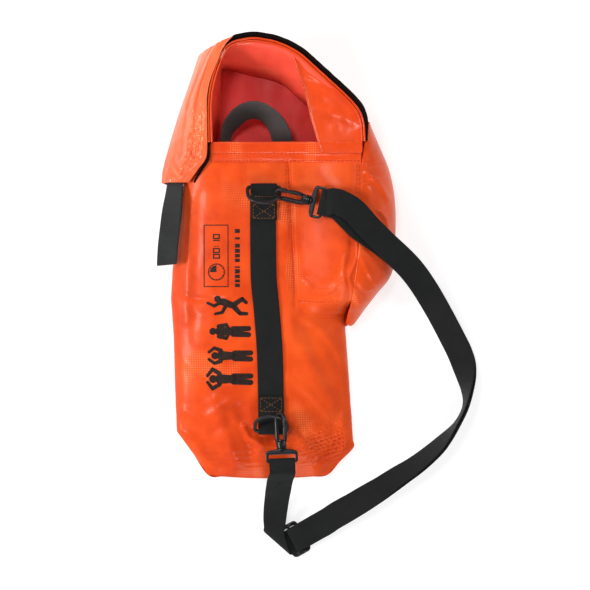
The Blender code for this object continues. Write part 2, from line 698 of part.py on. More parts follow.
# second layer: under the first one, then flat through the slider
mt = np.gradient(ms[:, :3], axis=0)
mt /= np.linalg.norm(mt, axis=1)[:, None]
mn = np.cross(mt, msd)
mn = np.where((mn[:, 2] < 0)[:, None], mn, -mn)
low = up_loop[-1]
k1 = 52
shift = np.array([table([(0, 0), (4, 10.0), (6, 11.0), (8, 8.0), (10.5, 2.5), (13, 0)], i) for i in range(len(ms))])
ret = [list(low + U_DIR * GAP) + list(EU_S), list(low + U_DIR * (GAP + 5.0)) + list(EU_S)]
for i in range(5, k1, 2):
    p = ms[i, :3] + mn[i] * 3.0 - msd[i] * shift[i]
    p[2] = max(p[2], 1.0 + abs(msd[i][2]) * WEB_W / 2)
    ret.append(list(p) + list(msd[i]))
Z_RUN = 3.5
for d in (60.0, 40.0, 24.0, 15.0):
    p = SL_C + SL_D * d
    ret.append([p[0], p[1], Z_RUN] + list(SL_S))
rs = track(ret, 60)
rsd = rs[:, 3:6] / np.linalg.norm(rs[:, 3:6], axis=1)[:, None]
ribbon("return_strap", rs[:, :3][::-1], rsd[::-1], 60, nu=1)

# single layer from the slider to the lower hook
lo0 = lo_loop[0]
EL_S = np.array(EL.to_3x3() @ Vector((0, 1, 0)))


def edges(a, b):
    """Station of the webbing from its two edges; a diagonal fold has slanting stations."""
    a, b = np.array(a), np.array(b)
    return list((a + b) / 2) + list((a - b) / WEB_W)


LOW = [list(SL_C + SL_D * 14.6 + [0, 0, Z_RUN]) + list(SL_S), list(SL_C + [0, 0, Z_RUN]) + list(SL_S),
       list(SL_C - SL_D * 9.5 + [0, 0, Z_RUN]) + list(SL_S),
       edges((13.5, -333.0, 2.9), (-12.0, -309.5, 2.9)), edges((12.2, -332.2, 4.8), (-17.6, -305.8, 4.8)),
       edges((11.4, -329.0, 7.0), (-17.6, -301.5, 7.0)), edges((5.0, -309.0, 9.4), (-18.2, -292.0, 9.4)),
       edges((5.0, -296.5, 9.8), (-18.3, -282.0, 11.0)), edges((9.5, -270.0, 18.5), (-15.7, -264.4, 20.5)),
       [-2.0, -257.5, 31.0, 1, 0, 0], [0.8, -245.5, 43.0, 1, 0, 0],
       list(lo0 + L_DIR * (GAP + 4.0)) + list(EL_S), list(lo0 + L_DIR * GAP) + list(EL_S)]
ls = track(LOW, 56)
ribbon("lower_strap", ls[:, :3], ls[:, 3:6], 56)

# slider: two end bars under the running webbing and a raised bar over it
SF = frame_of(SL_C, SL_D, np.cross((0, 0, 1), SL_D))
base = outline("strap_slider", [rounded(-10.5, 10.5, -18.6, 18.6, 2.6), rounded(-7.6, 7.6, -15.6, 15.6, 1)], 1.05)
base.data.transform(Matrix.Translation((0, 0, 1.35 * MM)))


def block(x0, x1, y0, y1, z0, z1):
    bpy.ops.mesh.primitive_cube_add(size=1)
    ob = bpy.context.object
    ob.scale = ((x1 - x0) * MM, (y1 - y0) * MM, (z1 - z0) * MM)
    ob.location = ((x0 + x1) / 2 * MM, (y0 + y1) / 2 * MM, (z0 + z1) / 2 * MM)
    bpy.ops.object.transform_apply(location=True, rotation=True, scale=True)
    return ob


base = combine(base, block(-3.5, 3.5, 15.8, 18.2, 1.5, 7.2), "UNION")
base = combine(base, block(-3.5, 3.5, -18.2, -15.8, 1.5, 7.2), "UNION")
base = combine(base, block(-1.5, 1.5, -16.9, 16.9, 4.9, 6.9), "UNION")
finish(base, "strap_slider", ACETAL, 0.4)
base.matrix_world = SF

# webbing end sewn round the slider's raised bar
el = [(14.5, 0, 8.9), (10, 0, 8.9), (5, 0, 8.8)]
for k in range(7):
    a = math.pi * k / 6
    el.append((-0.2 - 3.0 * math.sin(a), 0, 6.9 + 1.9 * math.cos(a) - (0.0 if k < 4 else 0.0)))
el = el[:3] + [(1.5, 0, 8.5), (-1.2, 0, 8.3), (-2.9, 0, 7.3), (-3.05, 0, 6.2)]
W = [np.array(SF @ (Vector(p) * MM)) / MM for p in el]
ribbon("slider_end_loop", W[::-1], [SL_S] * len(W), len(W))

# ============================================================== cover flap
FL_O = [(-132.5, 80.5, 17), (-132.0, 97, 11), (-114, 159, 8), (-92.5, 227, 7), (-90, 232, 7)]
FL_I = [(-99.0, 82, 39.5), (-82.0, 110, 57), (-80.5, 124, 61), (-80.5, 150, 65), (-80.6, 178, 66), (-76.5, 197, 66.5), (-68.5, 221, 66.5),
        (-61.5, 238.5, 66.5)]
fo_, fi_ = track(FL_O, 21), track(FL_I, 21)


def flap(u, v):
    i = int(round(v * 20))
    a, b = fo_[i], fi_[i]
    x = 1 - math.cos(u * math.pi / 2)
    w = 0.35 * x + 0.65 * u
    z = a[2] + (b[2] - a[2]) * math.sin(u * math.pi / 2) ** 0.9
    return (a[0] + (b[0] - a[0]) * w, a[1] + (b[1] - a[1]) * w, z)


flap_ob = sheet("cover_flap", 8, 20, flap, ORANGE)
HINGE = (-112.0, 161.5, 6.0)
tp = track([(-79.0, 135, 57), (-78.4, 150, 59), (-78.4, 178, 60), (-74.5, 197, 60.5), (-66.6, 220, 60.5), (-61.5, 230.5, 60.5)], 16)
sheet("flap_hook_tape", 1, 15, rows(tp + [-0.6, 0, -10], tp + [0, 0, 3.0]), BLACK, 0.8, 1.2)

# pull loop: webbing folded double, open towards its bend
PL = [(-117.3, 75, 39.8), (-118.8, 58, 41.4), (-121.3, 35, 42.8), (-123.6, 14, 43.0), (-124.6, -1.5, 41.6),
      (-124.9, -6.0, 38.2), (-124.6, -2.5, 34.6), (-123.6, 14, 33.4), (-121.3, 35, 33.4), (-118.8, 56, 33.6), (-117.3, 74, 34.2)]
pp = track(PL, 30)
ribbon("pull_loop", pp, [[-0.995, -0.1, 0.0]] * 30, 30, width=23.0)

# the origin goes to the bottom centre of the bag itself, the strap not counted
for o in main.objects:
    o.location += Vector((CENTRE_X, CENTRE_Y, 0)) * -MM
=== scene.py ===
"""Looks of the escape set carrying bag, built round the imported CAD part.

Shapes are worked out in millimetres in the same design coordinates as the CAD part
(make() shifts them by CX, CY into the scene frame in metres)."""
import bpy
import bmesh
import math
import numpy as np
from mathutils import Matrix, Vector


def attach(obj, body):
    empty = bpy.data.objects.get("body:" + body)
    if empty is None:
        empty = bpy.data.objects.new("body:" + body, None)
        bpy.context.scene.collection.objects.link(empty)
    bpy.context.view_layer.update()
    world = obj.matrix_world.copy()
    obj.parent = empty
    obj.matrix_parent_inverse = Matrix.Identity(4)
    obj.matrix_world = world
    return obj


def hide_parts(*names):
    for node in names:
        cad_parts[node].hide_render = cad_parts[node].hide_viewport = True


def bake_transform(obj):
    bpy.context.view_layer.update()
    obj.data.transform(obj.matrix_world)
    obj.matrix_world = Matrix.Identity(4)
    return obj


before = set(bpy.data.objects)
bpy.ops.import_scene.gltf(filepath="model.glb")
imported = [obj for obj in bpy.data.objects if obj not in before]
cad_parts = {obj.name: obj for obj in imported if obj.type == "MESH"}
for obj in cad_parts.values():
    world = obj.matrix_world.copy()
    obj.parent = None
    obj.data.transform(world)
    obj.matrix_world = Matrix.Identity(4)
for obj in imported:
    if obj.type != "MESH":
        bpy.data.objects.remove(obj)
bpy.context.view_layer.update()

MM = 0.001
CX, CY = -1.29, 1.89
WEB_W, WEB_T = 28.6, 1.6


# ------------------------------------------------------------------ maths
def tab(rows, x):
    xs = np.array([r[0] for r in rows], float)
    ys = np.array([r[1] for r in rows], float)
    x = np.clip(np.asarray(x, float), xs[0], xs[-1])
    d = np.diff(ys) / np.diff(xs)
    m = np.zeros(len(xs))
    m[0], m[-1] = d[0], d[-1]
    for k in range(1, len(xs) - 1):
        m[k] = 0.0 if d[k - 1] * d[k] <= 0 else 2 * d[k - 1] * d[k] / (d[k - 1] + d[k])
    i = np.clip(np.searchsorted(xs, x, side="right") - 1, 0, len(xs) - 2)
    h = xs[i + 1] - xs[i]
    t = (x - xs[i]) / h
    return ((2 * t**3 - 3 * t**2 + 1) * ys[i] + (t**3 - 2 * t**2 + t) * h * m[i]
            + (-2 * t**3 + 3 * t**2) * ys[i + 1] + (t**3 - t**2) * h * m[i + 1])


def lin(rows, x):
    return np.interp(x, [r[0] for r in rows], [r[1] for r in rows])


def step(t):
    t = np.clip(t, 0.0, 1.0)
    return t * t * (3 - 2 * t)


def track(points, n, power=0.5):
    Q = [np.array(p, float) for p in points]
    Q = [2 * Q[0] - Q[1]] + Q + [2 * Q[-1] - Q[-2]]
    out = []
    for i in range(1, len(Q) - 2):
        p0, p1, p2, p3 = Q[i - 1], Q[i], Q[i + 1], Q[i + 2]
        t0 = 0.0
        t1 = t0 + max(np.linalg.norm(p1 - p0), 1e-6) ** power
        t2 = t1 + max(np.linalg.norm(p2 - p1), 1e-6) ** power
        t3 = t2 + max(np.linalg.norm(p3 - p2), 1e-6) ** power
        for t in np.linspace(t1, t2, 24, endpoint=False):
            a1 = (t1 - t) / (t1 - t0) * p0 + (t - t0) / (t1 - t0) * p1
            a2 = (t2 - t) / (t2 - t1) * p1 + (t - t1) / (t2 - t1) * p2
            a3 = (t3 - t) / (t3 - t2) * p2 + (t - t2) / (t3 - t2) * p3
            b1 = (t2 - t) / (t2 - t0) * a1 + (t - t0) / (t2 - t0) * a2
            b2 = (t3 - t) / (t3 - t1) * a2 + (t - t1) / (t3 - t1) * a3
            out.append((t2 - t) / (t2 - t1) * b1 + (t - t1) / (t2 - t1) * b2)
    out.append(Q[-2])
    out = np.array(out)
    s = np.r_[0, np.cumsum(np.linalg.norm(np.diff(out[:, :3], axis=0), axis=1))]
    want = np.linspace(0, s[-1], n)
    return np.stack([np.interp(want, s, out[:, k]) for k in range(out.shape[1])], 1)


def _rnd(ix, iy, seed):
    h = (ix.astype(np.int64) * 374761393 + iy.astype(np.int64) * 668265263 + seed * 1442695041) & 0xFFFFFFFF
    h = ((h ^ (h >> 13)) * 1274126177) & 0xFFFFFFFF
    return ((h ^ (h >> 16)) & 0xFFFF) / 65536.0


def pn(x, y, seed=0):
    """Gradient noise, about -0.7 to 0.7."""
    x, y = np.broadcast_arrays(np.asarray(x, float), np.asarray(y, float))
    ix, iy = np.floor(x), np.floor(y)
    fx, fy = x - ix, y - iy
    u, v = fx**3 * (fx * (6 * fx - 15) + 10), fy**3 * (fy * (6 * fy - 15) + 10)
    r = 0
    for dx in (0, 1):
        for dy in (0, 1):
            a = 2 * math.pi * _rnd(ix + dx, iy + dy, seed)
            g = np.cos(a) * (fx - dx) + np.sin(a) * (fy - dy)
            r = r + g * (u if dx else 1 - u) * (v if dy else 1 - v)
    return r


def ridge(x, y, pts, w, sharp=1.0):
    """Distance falloff (0-1) round a polyline of points."""
    x, y = np.broadcast_arrays(np.asarray(x, float), np.asarray(y, float))
    best = np.full(x.shape, 1e9)
    for (ax, ay), (bx, by) in zip(pts[:-1], pts[1:]):
        dx, dy = bx - ax, by - ay
        L = max(dx * dx + dy * dy, 1e-9)
        t = np.clip(((x - ax) * dx + (y - ay) * dy) / L, 0, 1)
        best = np.minimum(best, np.hypot(x - ax - t * dx, y - ay - t * dy))
    return np.exp(-(best / w) ** 2 * sharp)


def spot(x, y, cx, cy, rx, ry, ang=0.0):
    c, s = math.cos(math.radians(ang)), math.sin(math.radians(ang))
    u, v = (x - cx) * c + (y - cy) * s, -(x - cx) * s + (y - cy) * c
    return np.exp(-(u / rx) ** 2 - (v / ry) ** 2)


# -------------------------------------------------------------- materials
def nodes_of(name):
    m = bpy.data.materials.new(name)
    m.use_nodes = True
    nt = m.node_tree
    return m, nt, nt.nodes["Principled BSDF"]


def add(nt, kind, **props):
    n = nt.nodes.new(kind)
    for k, v in props.items():
        if k.startswith("i_"):
            n.inputs[k[2:].replace("_", " ")].default_value = v
        else:
            setattr(n, k, v)
    return n


def ramp(nt, stops):
    r = nt.nodes.new("ShaderNodeValToRGB")
    e = r.color_ramp.elements
    while len(e) < len(stops):
        e.new(0.5)
    for el, (p, c) in zip(e, stops):
        el.position = p
        el.color = (*c, 1) if len(c) == 3 else c
    return r


def math_node(nt, op, a, b=None, clamp=False):
    n = nt.nodes.new("ShaderNodeMath")
    n.operation = op
    n.use_clamp = clamp
    for i, v in enumerate((a, b)):
        if v is None:
            continue
        if isinstance(v, (int, float)):
            n.inputs[i].default_value = v
        else:
            nt.links.new(v, n.inputs[i])
    return n.outputs[0]


def coated(name, light, base, deep, rough=0.36, coat=0.35, weave=0.25, period=5.2, seed=0.0):
    """PVC-coated woven fabric: gloss, scrim showing through in patches, fine creasing."""
    m, nt, b = nodes_of(name)
    L = nt.links.new
    tc = nt.nodes.new("ShaderNodeTexCoord")
    big = add(nt, "ShaderNodeTexNoise", i_Scale=7.0, i_Detail=3.0, i_Roughness=0.55)
    mp = nt.nodes.new("ShaderNodeMapping")
    mp.inputs["Location"].default_value = (seed, seed * 0.7, 0)
    L(tc.outputs["Object"], mp.inputs["Vector"])
    L(mp.outputs[0], big.inputs["Vector"])
    mid = add(nt, "ShaderNodeTexNoise", i_Scale=55.0, i_Detail=4.0, i_Roughness=0.6)
    L(mp.outputs[0], mid.inputs["Vector"])
    fine = add(nt, "ShaderNodeTexNoise", i_Scale=900.0, i_Detail=2.0)
    L(tc.outputs["Object"], fine.inputs["Vector"])
    mix = math_node(nt, "ADD", math_node(nt, "MULTIPLY", big.outputs["Fac"], 0.7), math_node(nt, "MULTIPLY", mid.outputs["Fac"], 0.3))
    cr = ramp(nt, [(0.30, deep), (0.5, base), (0.72, light)])
    L(mix, cr.inputs[0])
    # scrim: two crossed bands, read from the piece's own UV (metres)
    sep = nt.nodes.new("ShaderNodeSeparateXYZ")
    L(tc.outputs["UV"], sep.inputs[0])
    k = 2 * math.pi / (period * MM)
    sx = math_node(nt, "SINE", math_node(nt, "MULTIPLY", sep.outputs[0], k))
    sy = math_node(nt, "SINE", math_node(nt, "MULTIPLY", sep.outputs[1], k))
    grid_ = math_node(nt, "ADD", math_node(nt, "ABSOLUTE", sx), math_node(nt, "ABSOLUTE", sy))
    patch = ramp(nt, [(0.46, (0.06,) * 3), (0.64, (1.0,) * 3)])
    pat = add(nt, "ShaderNodeTexNoise", i_Scale=16.0, i_Detail=2.0)
    L(mp.outputs[0], pat.inputs["Vector"])
    L(pat.outputs["Fac"], patch.inputs[0])
    scrim = math_node(nt, "MULTIPLY", grid_, patch.outputs[0])
    mulc = nt.nodes.new("ShaderNodeMix")
    mulc.data_type = "RGBA"
    mulc.blend_type = "MULTIPLY"
    mulc.inputs[0].default_value = 0.40
    L(cr.outputs[0], mulc.inputs[6])
    gr = ramp(nt, [(0.0, (0.62, 0.55, 0.5)), (0.55, (1, 1, 1))])
    L(math_node(nt, "MULTIPLY", scrim, 0.6), gr.inputs[0])
    inv = ramp(nt, [(0.0, (1, 1, 1)), (1.0, (0.75, 0.7, 0.66))])
    L(math_node(nt, "MULTIPLY", scrim, 0.5), inv.inputs[0])
    L(inv.outputs[0], mulc.inputs[7])
    dots = math_node(nt, "POWER", math_node(nt, "MULTIPLY", math_node(nt, "ABSOLUTE", sx), math_node(nt, "ABSOLUTE", sy)), 2.0)
    msk = ramp(nt, [(0.60, (0, 0, 0)), (0.67, (0.55,) * 3)])
    pat2 = add(nt, "ShaderNodeTexNoise", i_Scale=24.0, i_Detail=1.0)
    mp2 = nt.nodes.new("ShaderNodeMapping")
    mp2.inputs["Location"].default_value = (seed + 3.3, 1.7, 0.4)
    mp2.inputs["Scale"].default_value = (1.0, 0.55, 1.0)
    L(tc.outputs["Object"], mp2.inputs["Vector"])
    L(mp2.outputs[0], pat2.inputs["Vector"])
    L(pat2.outputs["Fac"], msk.inputs[0])
    lite = nt.nodes.new("ShaderNodeMix")
    lite.data_type = "RGBA"
    lite.inputs[7].default_value = (0.98, 0.36, 0.14, 1)
    L(math_node(nt, "MULTIPLY", dots, msk.outputs[0]), lite.inputs[0])
    L(mulc.outputs[2], lite.inputs[6])
    L(lite.outputs[2], b.inputs["Base Color"])
    rr = nt.nodes.new("ShaderNodeMapRange")
    rr.inputs["To Min"].default_value = rough - 0.07
    rr.inputs["To Max"].default_value = rough + 0.10
    L(mid.outputs["Fac"], rr.inputs["Value"])
    L(rr.outputs[0], b.inputs["Roughness"])
    bw = add(nt, "ShaderNodeBump", i_Strength=weave, i_Distance=0.00025)
    L(scrim, bw.inputs["Height"])
    bm_ = add(nt, "ShaderNodeBump", i_Strength=0.35, i_Distance=0.0012)
    L(mid.outputs["Fac"], bm_.inputs["Height"])
    L(bw.outputs[0], bm_.inputs["Normal"])
    bf = add(nt, "ShaderNodeBump", i_Strength=0.10, i_Distance=0.0001)
    L(fine.outputs["Fac"], bf.inputs["Height"])
    L(bm_.outputs[0], bf.inputs["Normal"])
    L(bf.outputs[0], b.inputs["Normal"])
    b.inputs["Coat Weight"].default_value = coat
    b.inputs["Coat Roughness"].default_value = 0.18
    b.inputs["Specular IOR Level"].default_value = 0.22
    return m


def webbing_mat(name, lightc, darkc, pitch=1.55, rough=0.62):
    """Woven polyester webbing: cross ribs in columns, slight sheen."""
    m, nt, b = nodes_of(name)
    L = nt.links.new
    tc = nt.nodes.new("ShaderNodeTexCoord")
    sep = nt.nodes.new("ShaderNodeSeparateXYZ")
    L(tc.outputs["UV"], sep.inputs[0])
    ku, kv = 2 * math.pi / (2.5 * MM), 2 * math.pi / (pitch * MM)
    su = math_node(nt, "SINE", math_node(nt, "MULTIPLY", sep.outputs[0], ku))
    shift = math_node(nt, "MULTIPLY", math_node(nt, "SIGN", su), math.pi / 2)
    sv = math_node(nt, "SINE", math_node(nt, "ADD", math_node(nt, "MULTIPLY", sep.outputs[1], kv), shift))
    rib = math_node(nt, "MULTIPLY", math_node(nt, "ABSOLUTE", su), 0.7)
    h = math_node(nt, "ADD", rib, math_node(nt, "MULTIPLY", math_node(nt, "ABSOLUTE", sv), 0.8))
    no = add(nt, "ShaderNodeTexNoise", i_Scale=60.0, i_Detail=3.0)
    L(tc.outputs["Object"], no.inputs["Vector"])
    fz = add(nt, "ShaderNodeTexNoise", i_Scale=2600.0, i_Detail=2.0)
    L(tc.outputs["Object"], fz.inputs["Vector"])
    cr = ramp(nt, [(0.0, darkc), (1.0, lightc)])
    f = math_node(nt, "ADD", math_node(nt, "MULTIPLY", h, 0.38), math_node(nt, "MULTIPLY", no.outputs["Fac"], 0.45))
    L(f, cr.inputs[0])
    L(cr.outputs[0], b.inputs["Base Color"])
    b.inputs["Roughness"].default_value = rough
    b.inputs["Sheen Weight"].default_value = 0.06
    b.inputs["Sheen Roughness"].default_value = 0.5
    b.inputs["Specular IOR Level"].default_value = 0.18
    b1 = add(nt, "ShaderNodeBump", i_Strength=0.55, i_Distance=0.0003)
    L(h, b1.inputs["Height"])
    b2 = add(nt, "ShaderNodeBump", i_Strength=0.25, i_Distance=0.0002)
    L(fz.outputs["Fac"], b2.inputs["Height"])
    L(b1.outputs[0], b2.inputs["Normal"])
    L(b2.outputs[0], b.inputs["Normal"])
    return m


def simple(name, c0, c1, rough, scale, bump, dist, sheen=0.0, coat=0.0, rough_var=0.06, spec=0.35):
    m, nt, b = nodes_of(name)
    L = nt.links.new
    tc = nt.nodes.new("ShaderNodeTexCoord")
    n1 = add(nt, "ShaderNodeTexNoise", i_Scale=scale, i_Detail=4.0)
    L(tc.outputs["Object"], n1.inputs["Vector"])
    cr = ramp(nt, [(0.35, c0), (0.65, c1)])
    L(n1.outputs["Fac"], cr.inputs[0])
    L(cr.outputs[0], b.inputs["Base Color"])
    rr = nt.nodes.new("ShaderNodeMapRange")
    rr.inputs["To Min"].default_value = rough - rough_var
    rr.inputs["To Max"].default_value = rough + rough_var
    L(n1.outputs["Fac"], rr.inputs["Value"])
    L(rr.outputs[0], b.inputs["Roughness"])
    bp = add(nt, "ShaderNodeBump", i_Strength=bump, i_Distance=dist)
    L(n1.outputs["Fac"], bp.inputs["Height"])
    L(bp.outputs[0], b.inputs["Normal"])
    b.inputs["Sheen Weight"].default_value = sheen
    b.inputs["Coat Weight"].default_value = coat
    b.inputs["Specular IOR Level"].default_value = spec
    return m


ORANGE = coated("coated_fabric_orange", (0.90, 0.135, 0.018), (0.76, 0.088, 0.009), (0.56, 0.048, 0.005), rough=0.46, coat=0.11, weave=0.25)
SIDE = coated("coated_fabric_side", (0.86, 0.120, 0.015), (0.76, 0.088, 0.009), (0.62, 0.060, 0.005), rough=0.38, coat=0.20, weave=0.12, seed=3.1)
# painted light: the cover flap and band use a lighter, paler copy of the orange fabric, standing in for the light the
# flap catches from the left
COVER_PAINTED_LIGHTER = coated("coated_fabric_cover_painted_lighter", (0.93, 0.215, 0.080), (0.86, 0.165, 0.056), (0.76, 0.118, 0.034), rough=0.36, coat=0.42, weave=0.10, seed=7.7)
LINING = coated("coated_fabric_inside", (0.92, 0.085, 0.075), (0.85, 0.068, 0.062), (0.76, 0.052, 0.050), rough=0.42, coat=0.12, weave=0.10, seed=1.3)
# painted light: the inner face of the mouth wall uses a lighter, more orange copy of the inside fabric, standing in for
# the light that band catches
WALL_PAINTED_LIGHTER = coated("coated_fabric_wall_painted_lighter", (0.96, 0.150, 0.090), (0.92, 0.115, 0.070), (0.86, 0.09, 0.055), rough=0.30, coat=0.5, weave=0.08, seed=2.2)
HOODP = coated("coated_fabric_hood", (0.90, 0.125, 0.022), (0.81, 0.090, 0.013), (0.68, 0.064, 0.009), rough=0.37, coat=0.30, weave=0.08, seed=5.2)
WEB = webbing_mat("webbing_black", (0.020, 0.021, 0.022), (0.0028, 0.0030, 0.0033))
WEB_IN = webbing_mat("webbing_grey", (0.130, 0.120, 0.115), (0.050, 0.046, 0.045))
WEB_TAB = webbing_mat("webbing_tab_black", (0.058, 0.059, 0.060), (0.016, 0.016, 0.017))
HOOK = simple("hook_tape_black", (0.003, 0.002, 0.002), (0.014, 0.009, 0.008), 0.9, 2400, 1.0, 0.0006, sheen=0.03, spec=0.08)
ACETAL = simple("acetal_black", (0.012, 0.012, 0.014), (0.020, 0.020, 0.023), 0.36, 500, 0.12, 0.0001, coat=0.15)
THREAD = simple("thread_orange", (0.55, 0.055, 0.012), (0.75, 0.11, 0.02), 0.6, 3000, 0.5, 0.0002)
THREAD_B = simple("thread_tan", (0.20, 0.075, 0.018), (0.34, 0.14, 0.04), 0.6, 3000, 0.5, 0.0002)
THREAD_L = simple("thread_light", (0.80, 0.22, 0.07), (0.92, 0.30, 0.11), 0.6, 3000, 0.5, 0.0002)
INK = simple("screen_print_ink", (0.016, 0.008, 0.006), (0.032, 0.014, 0.010), 0.5, 260, 0.3, 0.0001)


# ------------------------------------------------------------ mesh makers
def make(name, V, F, UV, mats, body, smooth=True, normals_up=None):
    V = np.asarray(V, float)
    me = bpy.data.meshes.new(name)
    me.from_pydata([tuple(v) for v in (V - [CX, CY, 0.0]) * MM], [], [tuple(int(i) for i in f) for f in F])
    me.update()
    if UV is not None:
        uv = me.uv_layers.new(name="UVMap")
        li = np.zeros(len(me.loops), dtype=np.int32)
        me.loops.foreach_get("vertex_index", li)
        uv.data.foreach_set("uv", (np.asarray(UV, float)[li] * MM).ravel())
    ob = bpy.data.objects.new(name, me)
    bpy.context.scene.collection.objects.link(ob)
    for m in (mats if isinstance(mats, (list, tuple)) else [mats]):
        me.materials.append(m)
    if smooth:
        me.shade_smooth()
    if body:
        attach(ob, body)
    return ob


def faces(nu, nv, wrap_u=False, wrap_v=False):
    f = []
    for j in range(nv - (0 if wrap_v else 1)):
        j2 = (j + 1) % nv
        for i in range(nu - (0 if wrap_u else 1)):
            i2 = (i + 1) % nu
            f.append((j * nu + i, j * nu + i2, j2 * nu + i2, j2 * nu + i))
    return f


def lengths(G):
    """UV in mm from a (nv, nu, 3) grid of points."""
    du = np.r_["1", np.zeros((G.shape[0], 1)), np.cumsum(np.linalg.norm(np.diff(G, axis=1), axis=2), 1)]
    dv = np.r_["0", np.zeros((1, G.shape[1])), np.cumsum(np.linalg.norm(np.diff(G, axis=0), axis=2), 0)]
    du = np.repeat(du.mean(0)[None, :], G.shape[0], 0)
    dv = np.repeat(dv.mean(1)[:, None], G.shape[1], 1)
    return np.stack([du, dv], 2)


def sheet(name, G, mats, body, thick=1.2, offset=-1.0, keep=None, flip=False, UV=None):
    """G is a (nv, nu, 3) grid of points in mm."""
    nv, nu = G.shape[:2]
    F = faces(nu, nv)
    if keep is not None:
        K = keep.ravel()
        F = [f for f in F if all(K[i] for i in f)]
    if flip:
        F = [f[::-1] for f in F]
    V = G.reshape(-1, 3)
    U = (lengths(G) if UV is None else UV).reshape(-1, 2)
    if keep is not None:
        used = sorted({i for f in F for i in f})
        new = {a: b for b, a in enumerate(used)}
        F = [tuple(new[i] for i in f) for f in F]
        V, U = V[used], U[used]
    ob = make(name, V, F, U, mats, body)
    if thick:
        md = ob.modifiers.new("thickness", "SOLIDIFY")
        md.thickness = thick * MM
        md.offset = offset
        md.use_rim = True
        if isinstance(mats, (list, tuple)) and len(mats) > 1:
            md.material_offset = 1
    return ob


def tangents(C, closed=False):
    if closed:
        T = np.roll(C, -1, 0) - np.roll(C, 1, 0)
    else:
        T = np.gradient(C, axis=0)
    return T / np.maximum(np.linalg.norm(T, axis=1), 1e-9)[:, None]


def strip_grid(C, S, width, thick, na=13, skew=False):
    """Webbing: closed section with rounded edges round a centre line C with side S."""
    T = tangents(C)
    if not skew:
        S = S - (S * T).sum(1)[:, None] * T
        S = S / np.linalg.norm(S, axis=1)[:, None]
    N = np.cross(T, S)
    N = N / np.linalg.norm(N, axis=1)[:, None]
    w, h = width / 2, thick / 2
    prof = []
    for k in range(na):
        t = -1 + 2 * k / (na - 1)
        prof.append((t * (w - h * 0.9), h * (1.0 + 0.04 * (1 - t * t))))
    for a in (60, 30, 0, -30, -60):
        prof.append((w - h * 0.9 + h * 0.9 * math.cos(math.radians(a)), h * math.sin(math.radians(a))))
    for k in range(na):
        t = 1 - 2 * k / (na - 1)
        prof.append((t * (w - h * 0.9), -h))
    for a in (240, 210, 180, 150, 120):
        prof.append((-(w - h * 0.9) + h * 0.9 * math.cos(math.radians(a)), h * math.sin(math.radians(a))))
    prof = np.array(prof)
    G = C[:, None, :] + prof[None, :, 0:1] * S[:, None, :] + prof[None, :, 1:2] * N[:, None, :]
    s = np.r_[0, np.cumsum(np.linalg.norm(np.diff(C, axis=0), axis=1))]
    UV = np.stack([np.repeat(prof[None, :, 0] + w, len(C), 0), np.repeat(s[:, None], len(prof), 1)], 2)
    return G, UV, N


def webbing(name, C, S, body, width=WEB_W, thick=WEB_T, mat=None, wobble=0.0, seed=0, skew=False):
    C, S = np.array(C, float), np.array(S, float)
    if wobble:
        s = np.r_[0, np.cumsum(np.linalg.norm(np.diff(C, axis=0), axis=1))]
        T = tangents(C)
        N = np.cross(T, S)
        N = N / np.linalg.norm(N, axis=1)[:, None]
        C = C + N * (pn(s / 38.0, 0.3, seed) * wobble)[:, None]
    G, UV, N = strip_grid(C, S, width, thick, skew=skew)
    nv, nu = G.shape[:2]
    F = faces(nu, nv, wrap_u=True)
    F.append(tuple(range(nu))[::-1])
    F.append(tuple((nv - 1) * nu + i for i in range(nu)))
    ob = make(name, G.reshape(-1, 3), F, UV.reshape(-1, 2), mat or WEB, body)
    ob.data.set_sharp_from_angle(angle=math.radians(60))
    return ob


def sweep(path, rx, ry=None, up=(0, 0, 1), closed=False, n=16, power=2.0):
    """Tube round a path; superellipse section rx by ry (arrays or numbers)."""
    C = np.array(path, float)
    T = tangents(C, closed)
    up = np.array(up, float)
    A = np.cross(up, T)
    A = A / np.maximum(np.linalg.norm(A, axis=1), 1e-9)[:, None]
    B = np.cross(T, A)
    rx = np.broadcast_to(np.asarray(rx, float), (len(C),))
    ry = rx if ry is None else np.broadcast_to(np.asarray(ry, float), (len(C),))
    a = np.linspace(0, 2 * math.pi, n, endpoint=False)
    ca = np.sign(np.cos(a)) * np.abs(np.cos(a)) ** (2 / power)
    sa = np.sign(np.sin(a)) * np.abs(np.sin(a)) ** (2 / power)
    G = C[:, None, :] + (rx[:, None] * ca[None, :])[..., None] * A[:, None, :] + (ry[:, None] * sa[None, :])[..., None] * B[:, None, :]
    V = G.reshape(-1, 3)
    F = faces(n, len(C), wrap_u=True, wrap_v=closed)
    if not closed:
        F.append(tuple(range(n))[::-1])
        F.append(tuple((len(C) - 1) * n + i for i in range(n)))
    return V, F


def turned(profile, n=28):
    """Solid of revolution about X from (x, r) pairs, closed at both ends when r is 0."""
    V, F = [], []
    a = np.linspace(0, 2 * math.pi, n, endpoint=False)
    for x, r in profile:
        for t in a:
            V.append((x, r * math.cos(t), r * math.sin(t)))
    for j in range(len(profile) - 1):
        for i in range(n):
            i2 = (i + 1) % n
            F.append((j * n + i, (j + 1) * n + i, (j + 1) * n + i2, j * n + i2))
    F.append(tuple(range(n)))
    F.append(tuple((len(profile) - 1) * n + i for i in range(n))[::-1])
    return np.array(V), F


def join(parts):
    V, F, k = [], [], 0
    for v, f in parts:
        V.append(np.asarray(v, float))
        F += [tuple(i + k for i in q) for q in f]
        k += len(v)
    return np.concatenate(V), F


def frame_of(origin, x, y):
    x = Vector(x).normalized()
    z = x.cross(Vector(y)).normalized()
    y = z.cross(x)
    m = Matrix((x, y, z)).transposed().to_4x4()
    m.translation = Vector(origin)
    return m


def carry(M, V):
    R = np.array(M.to_3x3())
    t = np.array(M.translation)
    return np.asarray(V) @ R.T + t


